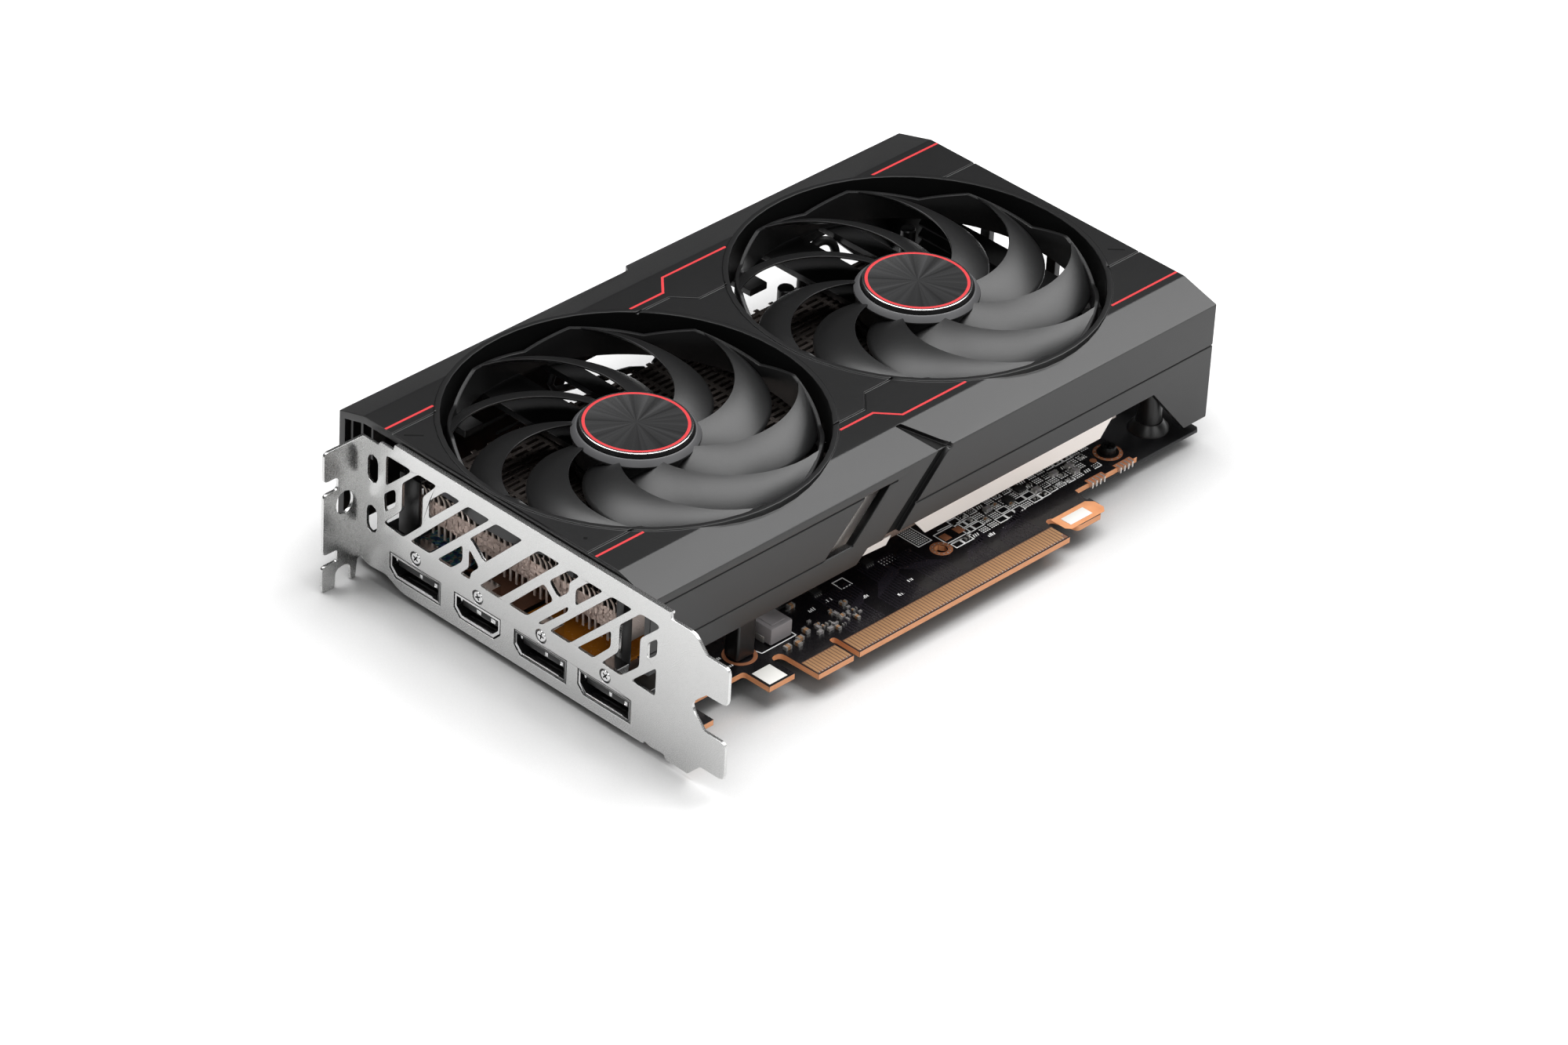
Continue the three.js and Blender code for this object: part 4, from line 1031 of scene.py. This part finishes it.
def build_surface_parts():
    """Small capacitors, resistors and chips soldered along the near edge of the board."""
    rng = random.Random(PARTS_SEED)
    bm = bmesh.new()
    tan, black, grey, tin = 0, 1, 2, 3
    for x, y, turn in ((59.0, 23.3, 0), (52.9, 22.7, 90), (51.2, 12.6, 0), (54.5, 13.9, 90),
                       (49.5, 11.5, 90), (46.5, 12.0, 0)):
        add_ceramic(bm, x, y, 1.9, 1.15, turn, 0.9, tan)
    for _ in range(30):
        x = 56.4 + 14.0 * rng.random()
        y = 9.8 + 6.6 * rng.random()
        small = rng.random() < 0.6
        add_ceramic(bm, x, y, 1.05 if small else 1.6, 0.55 if small else 0.85, 90 * rng.randrange(2),
                    0.45 if small else 0.75, rng.choice((tan, black, grey)))
    filled = 0.36
    for x, y in dense_cells():
        x, y = x + CELL_X / 2, y + CELL_Y / 2
        if is_clear(x, y) and rng.random() < filled:
            add_ceramic(bm, x, y, 1.25, 0.7, 90 * rng.randrange(2), 0.5,
                        rng.choice((tan, black, black, grey)))
    for x, y in ((123.2, 20.7), (138.0, 18.6), (146.2, 20.6), (151.0, 18.0), (151.6, 20.4)):
        add_ceramic(bm, x, y, 2.2, 1.3, 0, 0.95, grey)
    for x, y in ((128.5, 19.0), (134.0, 20.5), (84.0, 23.0), (66.0, 22.5)):
        add_box(bm, (x, y, BOARD_TOP - SUNK), (x + 2.6, y + 2.2, BOARD_TOP + 0.8), black, 0.06)
        for k in range(4):
            for edge in (-0.35, 2.2):
                left = x + 0.2 + 0.62 * k
                add_box(bm, (left, y + edge, BOARD_TOP),
                        (left + 0.22, y + edge + 0.4, BOARD_TOP + 0.2), tin)
    for row in range(9):
        for column in range(4):
            y = 30.0 + row * 6.6
            x = (116.5, 121.0, 139.0, 143.5)[column]
            body = tan if column % 2 else black
            add_ceramic(bm, x, y + rng.uniform(-0.5, 0.5), 2.0, 1.2, 90, 0.9, body)
    for i in range(4):
        for k in range(7):
            add_ceramic(bm, 53.0 + 1.6 * k + 50.0 * (i % 2), 59.2 + 3.4 * (i // 2), 1.2, 0.65, 90, 0.5, tan)
    finish_piece("surface_parts", bm, "tan chip ferrite solder")


def build_board_labels():
    """Bare orange laminate on one tab, and a blank white label on each of the two tabs."""
    bm = bmesh.new()
    paper = 1
    hook = [(131.5, 3.2), (132.6, 2.0), (144.0, 2.0), (145.3, 3.4), (145.3, 6.4), (143.6, 8.0),
            (131.5, 8.0)]
    add_prism(bm, *([(x, y, z) for x, y in hook] for z in (BOARD_TOP - SUNK, BOARD_TOP + INK_HEIGHT)))
    add_box(bm, (133.6, 3.3, BOARD_TOP), (141.2, 6.6, BOARD_TOP + 0.12), paper, 0.04)
    add_box(bm, (33.2, 4.6, BOARD_TOP), (39.0, 10.4, BOARD_TOP + 0.1), paper, 0.04)
    finish_piece("blank_labels", bm, "laminate paper")


# Half the width of each port's mouth, in the order the ports stand on the bracket.
PORT_MOUTHS = {"displayport_1": 8.4, "displayport_2": 8.4, "hdmi_port": 7.5, "displayport_3": 8.4}


def build_ports():
    for i, (name, half) in enumerate(PORT_MOUTHS.items()):
        build_port(name, half)
        build_port_screw(i + 1)


def build_port(name, half):
    """A plated shell with a black insert, a tongue with bright contacts and two spring tabs."""
    y = node_centre(name)[1]
    floor, roof = node_box(name)[0][2] + 0.55, 5.65
    tongue_low, tongue_high = 3.1, 4.8

    def in_mouth(face):
        centre = face.calc_center_median()
        inside = abs(centre.y - y) < half - 0.3 and floor - 0.1 < centre.z < roof + 0.1
        tongue = inside and abs(centre.y - y) < half - 1.9 and tongue_low < centre.z < tongue_high
        return 1 if tongue or (inside and centre.x > 3.0) else 0

    refine(name, f"{name}_shell", "bright insert", 0.08, 30.0, in_mouth)
    bm = bmesh.new()
    black, bright = 0, 1
    add_box(bm, (3.2, y - half + 0.8, floor + 1.1), (9.4, y + half - 0.8, roof - 0.1), black, 0.1)
    add_box(bm, (1.2, y - half + 1.6, 2.95), (9.0, y + half - 1.6, 4.75), black, 0.12)
    hdmi = name.startswith("hdmi")
    for offset in ((0.5, -4.3) if hdmi else (-1.0, -6.0)):
        size = 0.75 if hdmi else 0.45
        add_box(bm, (1.3, y + offset - size, 4.7), (2.9, y + offset + size, 4.86), bright, 0.03)
        add_box(bm, (1.12, y + offset - size, 3.3), (1.3, y + offset + size, 4.3), bright, 0.03)
    add_box(bm, (0.2, y - half + 2.4, floor - 0.02), (3.3, y + half - 1.0, floor + 0.14), bright, 0.05)
    add_box(bm, (0.7, y + half - 1.9, roof - 1.2), (1.2, y + half - 1.2, roof - 0.3), bright, 0.04)
    finish_piece(f"{name}_insert", bm, "insert bright")


def build_port_screw(i):
    _, y, z = node_centre(f"port_screw_{i}")
    head, length = 0.75, 3.7
    bm = bmesh.new()
    out = Matrix.Translation((0.85, y, z)) @ Matrix.Rotation(-math.pi / 2, 4, "Y")
    tilt = Matrix.Rotation(math.radians(20.0 + 31.0 * i), 4, "Z")
    add_cross_screw(bm, out @ tilt, 1.5, head, stem=length, recess=1)
    finish_piece(f"bracket_screw_{i}", bm, "bright black_steel",
                 stands_for=f"port_screw_{i}")


def build_board_screw():
    """Black cross-head screw in the near corner, with a washer face."""
    low, high = node_box("board_screw")
    x, y = EDGE_SCREW
    head = high[2] - BOARD_TOP - 0.3
    bm = bmesh.new()
    spot = Matrix.Translation((x, y, BOARD_TOP + 0.3)) @ Matrix.Rotation(math.radians(25), 4, "Z")
    add_cross_screw(bm, spot, 2.0, head, stem=BOARD_TOP + 0.2 - low[2])
    add_disc(bm, (x, y), 2.75, BOARD_TOP + 0.02, BOARD_TOP + 0.28, hole=1.4, steps=48)
    finish_piece("board_fixing", bm, "black_steel", stands_for="board_screw")


def build_choke(node, name):
    """Pressed ferrite block with a raised pad on top and two tinned ends."""
    low, high = node_box(node)
    bm = bmesh.new()
    body, tin = 0, 1
    inset = 1.2
    add_box(bm, low, (high[0], high[1], high[2] - 0.25), body, 0.35)
    pad = (low[0] + inset, low[1] + inset, high[2] - 0.6), (high[0] - inset, high[1] - inset, high[2])
    add_box(bm, *pad, body, 0.22)
    middle = (low[1] + high[1]) / 2
    for x0, x1 in ((low[0] - 0.12, low[0] + 0.3), (high[0] - 0.3, high[0] + 0.12)):
        add_box(bm, (x0, middle - 1.8, BOARD_TOP + 0.02), (x1, middle + 1.8, low[2] + 1.4), tin, 0.08)
    finish_piece(name, bm, "ferrite solder", stands_for=node)


def build_capacitor():
    """Round aluminium can with a rolled groove, scored top and a black base."""
    low, high = node_box("round_capacitor")
    x, y, _ = node_centre("round_capacitor")
    radius = (high[0] - low[0]) / 2
    base, top = low[2], high[2]
    black = 1
    bm = bmesh.new()
    profile = [(0, base + 0.6), (radius - 0.1, base + 0.6), (radius, base + 0.8), (radius, base + 1.2),
               (radius - 0.3, base + 1.45), (radius, base + 1.7), (radius, top - 0.5),
               (radius - 0.15, top - 0.2), (radius - 0.5, top), (radius - 0.9, top),
               (radius - 1.05, top - 0.12), (0, top - 0.12)]
    add_lathe(bm, (x, y), profile, steps=64, closed=False)
    add_box(bm, (low[0], low[1], base), (high[0], high[1], base + 0.6), black, 0.15)
    finish_piece("can_capacitor", bm, "bright insert",
                 stands_for="round_capacitor")


def build_small_parts():
    refine("gpu_substrate", "chip_carrier", "mask", 0.1, 40.0)
    refine("gpu_die", "chip_die", "silicon", 0.05, 40.0)
    for i in range(1, 5):
        refine(f"memory_chip_{i}", f"memory_{i}", "chip", 0.12, 40.0)
    for i in range(1, 6):
        build_choke(f"choke_{i}", f"power_choke_{i}")
    build_choke("choke_front", "front_choke")
    build_capacitor()
    refine("power_connector", "power_socket", "insert", 0.12, 40.0, merge_flats=False)
    build_power_pins()
    build_board_screw()
    refine("fan_header", "fan_socket", "insert", 0.15, 40.0, merge_flats=False)


def build_power_pins():
    """Eight tinned pins, one in each chamber of the power socket."""
    low, _ = node_box("power_connector")
    pitch, row_pitch = 4.2, 4.4
    bm = bmesh.new()
    for column in range(4):
        for row in range(2):
            x = low[0] + 1.5 + column * pitch + 1.8
            z = low[2] + 1.2 + row * row_pitch + 1.8
            add_box(bm, (x - 0.5, low[1] + 1.8, z - 0.5), (x + 0.5, low[1] + 9.5, z + 0.5), 0, 0.15)
    finish_piece("power_pins", bm, "solder")


def build_end_louvres():
    """Slanted slats behind the vents of the end wall, in the painted-shade material."""
    bm = bmesh.new()
    slats, pitch, thick, rise = 5, 3.3, 0.5, 3.4
    x0, x1, y0, y1 = 185.6, 189.4, 27.0, 104.0
    for k in range(slats):
        z = 4.0 + pitch * k
        section = [(x0, z), (x1, z + rise), (x1, z + rise + thick), (x0, z + thick)]
        add_prism(bm, *([(x, y, h) for x, h in section] for y in (y0, y1)))
    finish_piece("end_louvres", bm, "bore")


def build_inner_parts():
    """The fan lead looped beside the heat sink and the posts under the right fan."""
    bm = bmesh.new()
    loop = [(146.5, 106.5, 12.0), (147.0, 106.6, 19.0), (149.0, 106.2, 24.0), (152.5, 105.5, 25.4),
            (155.8, 105.0, 23.0), (156.8, 104.6, 17.0), (156.0, 104.4, 12.5)]
    add_tube(bm, spline(loop, 8), 1.15, sides=14)
    finish_piece("fan_lead_loop", bm, "cable")
    bm = bmesh.new()
    for x, y, radius in ((174.5, 97.5, 1.9), (132.0, 98.0, 2.1)):
        profile = [(0, 1.7), (radius + 0.5, 1.7), (radius + 0.3, 4.0), (radius, 23.6), (radius - 0.2, 23.9),
                   (0, 23.9)]
        add_lathe(bm, (x, y), profile, steps=40, closed=False)
    finish_piece("fan_posts", bm, "cover")


# ---- Studio -----------------------------------------------------------------------------
def build_floor():
    """A wide plane just below the card."""
    bm = bmesh.new()
    gap, half = 0.05, 3000.0
    level = CAD_LOW.z / MM - gap
    corners = [(-half, -half), (half, -half), (half, half), (-half, half)]
    bm.faces.new([bm.verts.new((x, y, level)) for x, y in corners])
    new_object("floor", bm, [floor_material()])


def floor_material():
    """Pale and slightly glossy, with a painted shadow darkening it where the card is close, and matt at
    grazing angles.
    """
    mat, tree, shader, coords = material("pale_floor")
    drift = noise(tree, coords, 200.0, 2.0)
    # Painted shadow: occlusion mixes the floor colour towards dark grey near the card.
    shade = tree.nodes.new("ShaderNodeAmbientOcclusion")
    shade.samples = 8
    shade.inputs["Distance"].default_value = 110.0 * MM
    white = mixed(tree, drift, (0.80, 0.80, 0.80), (0.83, 0.83, 0.83))
    tree.links.new(mixed(tree, shade.outputs["AO"], (0.22, 0.22, 0.22), white), shader.inputs["Base Color"])
    shader.inputs["Roughness"].default_value = 0.22
    grazing = tree.nodes.new("ShaderNodeLayerWeight")
    grazing.inputs["Blend"].default_value = 0.5
    gloss = tree.nodes.new("ShaderNodeMapRange")
    tree.links.new(grazing.outputs["Facing"], gloss.inputs["Value"])
    gloss.inputs["From Min"].default_value = 0.55
    gloss.inputs["From Max"].default_value = 0.85
    gloss.inputs["To Min"].default_value = 0.8
    gloss.inputs["To Max"].default_value = 0.0
    tree.links.new(gloss.outputs["Result"], shader.inputs["Specular IOR Level"])
    return mat


def add_light(name, location, target, width, height, power):
    """A rectangular softbox that faces its target."""
    data = bpy.data.lights.new(name, "AREA")
    data.energy = power
    data.shape = "RECTANGLE"
    data.size = width * MM
    data.size_y = height * MM
    lamp = bpy.data.objects.new(name, data)
    lamp.location = Vector(location) * MM
    direction = Vector(target) - Vector(location)
    lamp.rotation_mode = "QUATERNION"
    lamp.rotation_quaternion = direction.to_track_quat("-Z", "Y")
    bpy.context.scene.collection.objects.link(lamp)


def build_lights():
    middle = Vector((95, 60, 20))
    for name, direction, distance, width, height, power in (
        ("overhead", (0.05, 0.02, 1.00), 1300, 1000, 800, 15.0),
        ("softbox_right", (0.62, -0.10, 0.78), 1250, 900, 700, 11.0),
        ("softbox_back", (-0.28, 0.52, 0.82), 1300, 700, 600, 8.0),
        ("fill_front", (-0.62, -0.55, 0.56), 1300, 500, 500, 2.2),
        ("fill_near", (0.15, -0.88, 0.45), 1300, 900, 350, 3.6),
    ):
        place = middle + Vector(direction).normalized() * distance
        add_light(name, place, middle, width, height, power)


def build_world():
    """White behind the object and soft light on it, but a dim surrounding in its reflections."""
    world = bpy.data.worlds.new("studio")
    bpy.context.scene.world = world
    world.use_nodes = True
    world.cycles.sampling_method = "NONE"
    tree = world.node_tree
    back = tree.nodes["Background"]
    paths = tree.nodes.new("ShaderNodeLightPath")
    seen, soft, dim = (1.0, 1.0, 1.0), (0.22, 0.22, 0.22), (0.05, 0.05, 0.05)
    lit = mixed(tree, paths.outputs["Is Glossy Ray"], soft, dim)
    colour = mixed(tree, paths.outputs["Is Camera Ray"], lit, seen)
    tree.links.new(colour, back.inputs["Color"])
    back.inputs["Strength"].default_value = 1.0


# The photo's camera, fitted on the card's known sizes: degrees, and millimetres.
CAMERA = {
    "azimuth": -47.38, "elevation": 33.81, "roll": 3.395, "distance": 1621.1,
    "target": (62.86, 30.46, 20.0), "lens": 160.8,
}


def build_camera():
    azimuth, elevation, roll = (math.radians(CAMERA[k]) for k in ("azimuth", "elevation", "roll"))
    back = Vector((math.sin(azimuth) * math.cos(elevation), -math.cos(azimuth) * math.cos(elevation),
                   math.sin(elevation)))
    right = Vector((math.cos(azimuth), math.sin(azimuth), 0))
    up = back.cross(right)
    cam_right = right * math.cos(roll) + up * math.sin(roll)
    cam_up = up * math.cos(roll) - right * math.sin(roll)
    data = bpy.data.cameras.new("camera")
    data.sensor_width = 36.0
    data.lens = CAMERA["lens"]
    data.clip_start, data.clip_end = 0.05, 20.0
    camera = bpy.data.objects.new("camera", data)
    turn = Matrix((cam_right, cam_up, back)).transposed()
    camera.rotation_mode = "QUATERNION"
    camera.rotation_quaternion = turn.to_quaternion()
    camera.location = (Vector(CAMERA["target"]) + back * CAMERA["distance"]) * MM
    bpy.context.scene.collection.objects.link(camera)
    bpy.context.scene.camera = camera


build_cover()
build_cover_marks()
build_stripes()
build_bracket()
for fan_side in SIDES:
    build_rotor(fan_side)
    build_motor(fan_side)
build_cooler()
build_board()
build_ports()
build_small_parts()
build_end_louvres()
build_inner_parts()
build_floor()
build_lights()
build_world()
build_camera()
bpy.context.scene.view_settings.view_transform = "Standard"
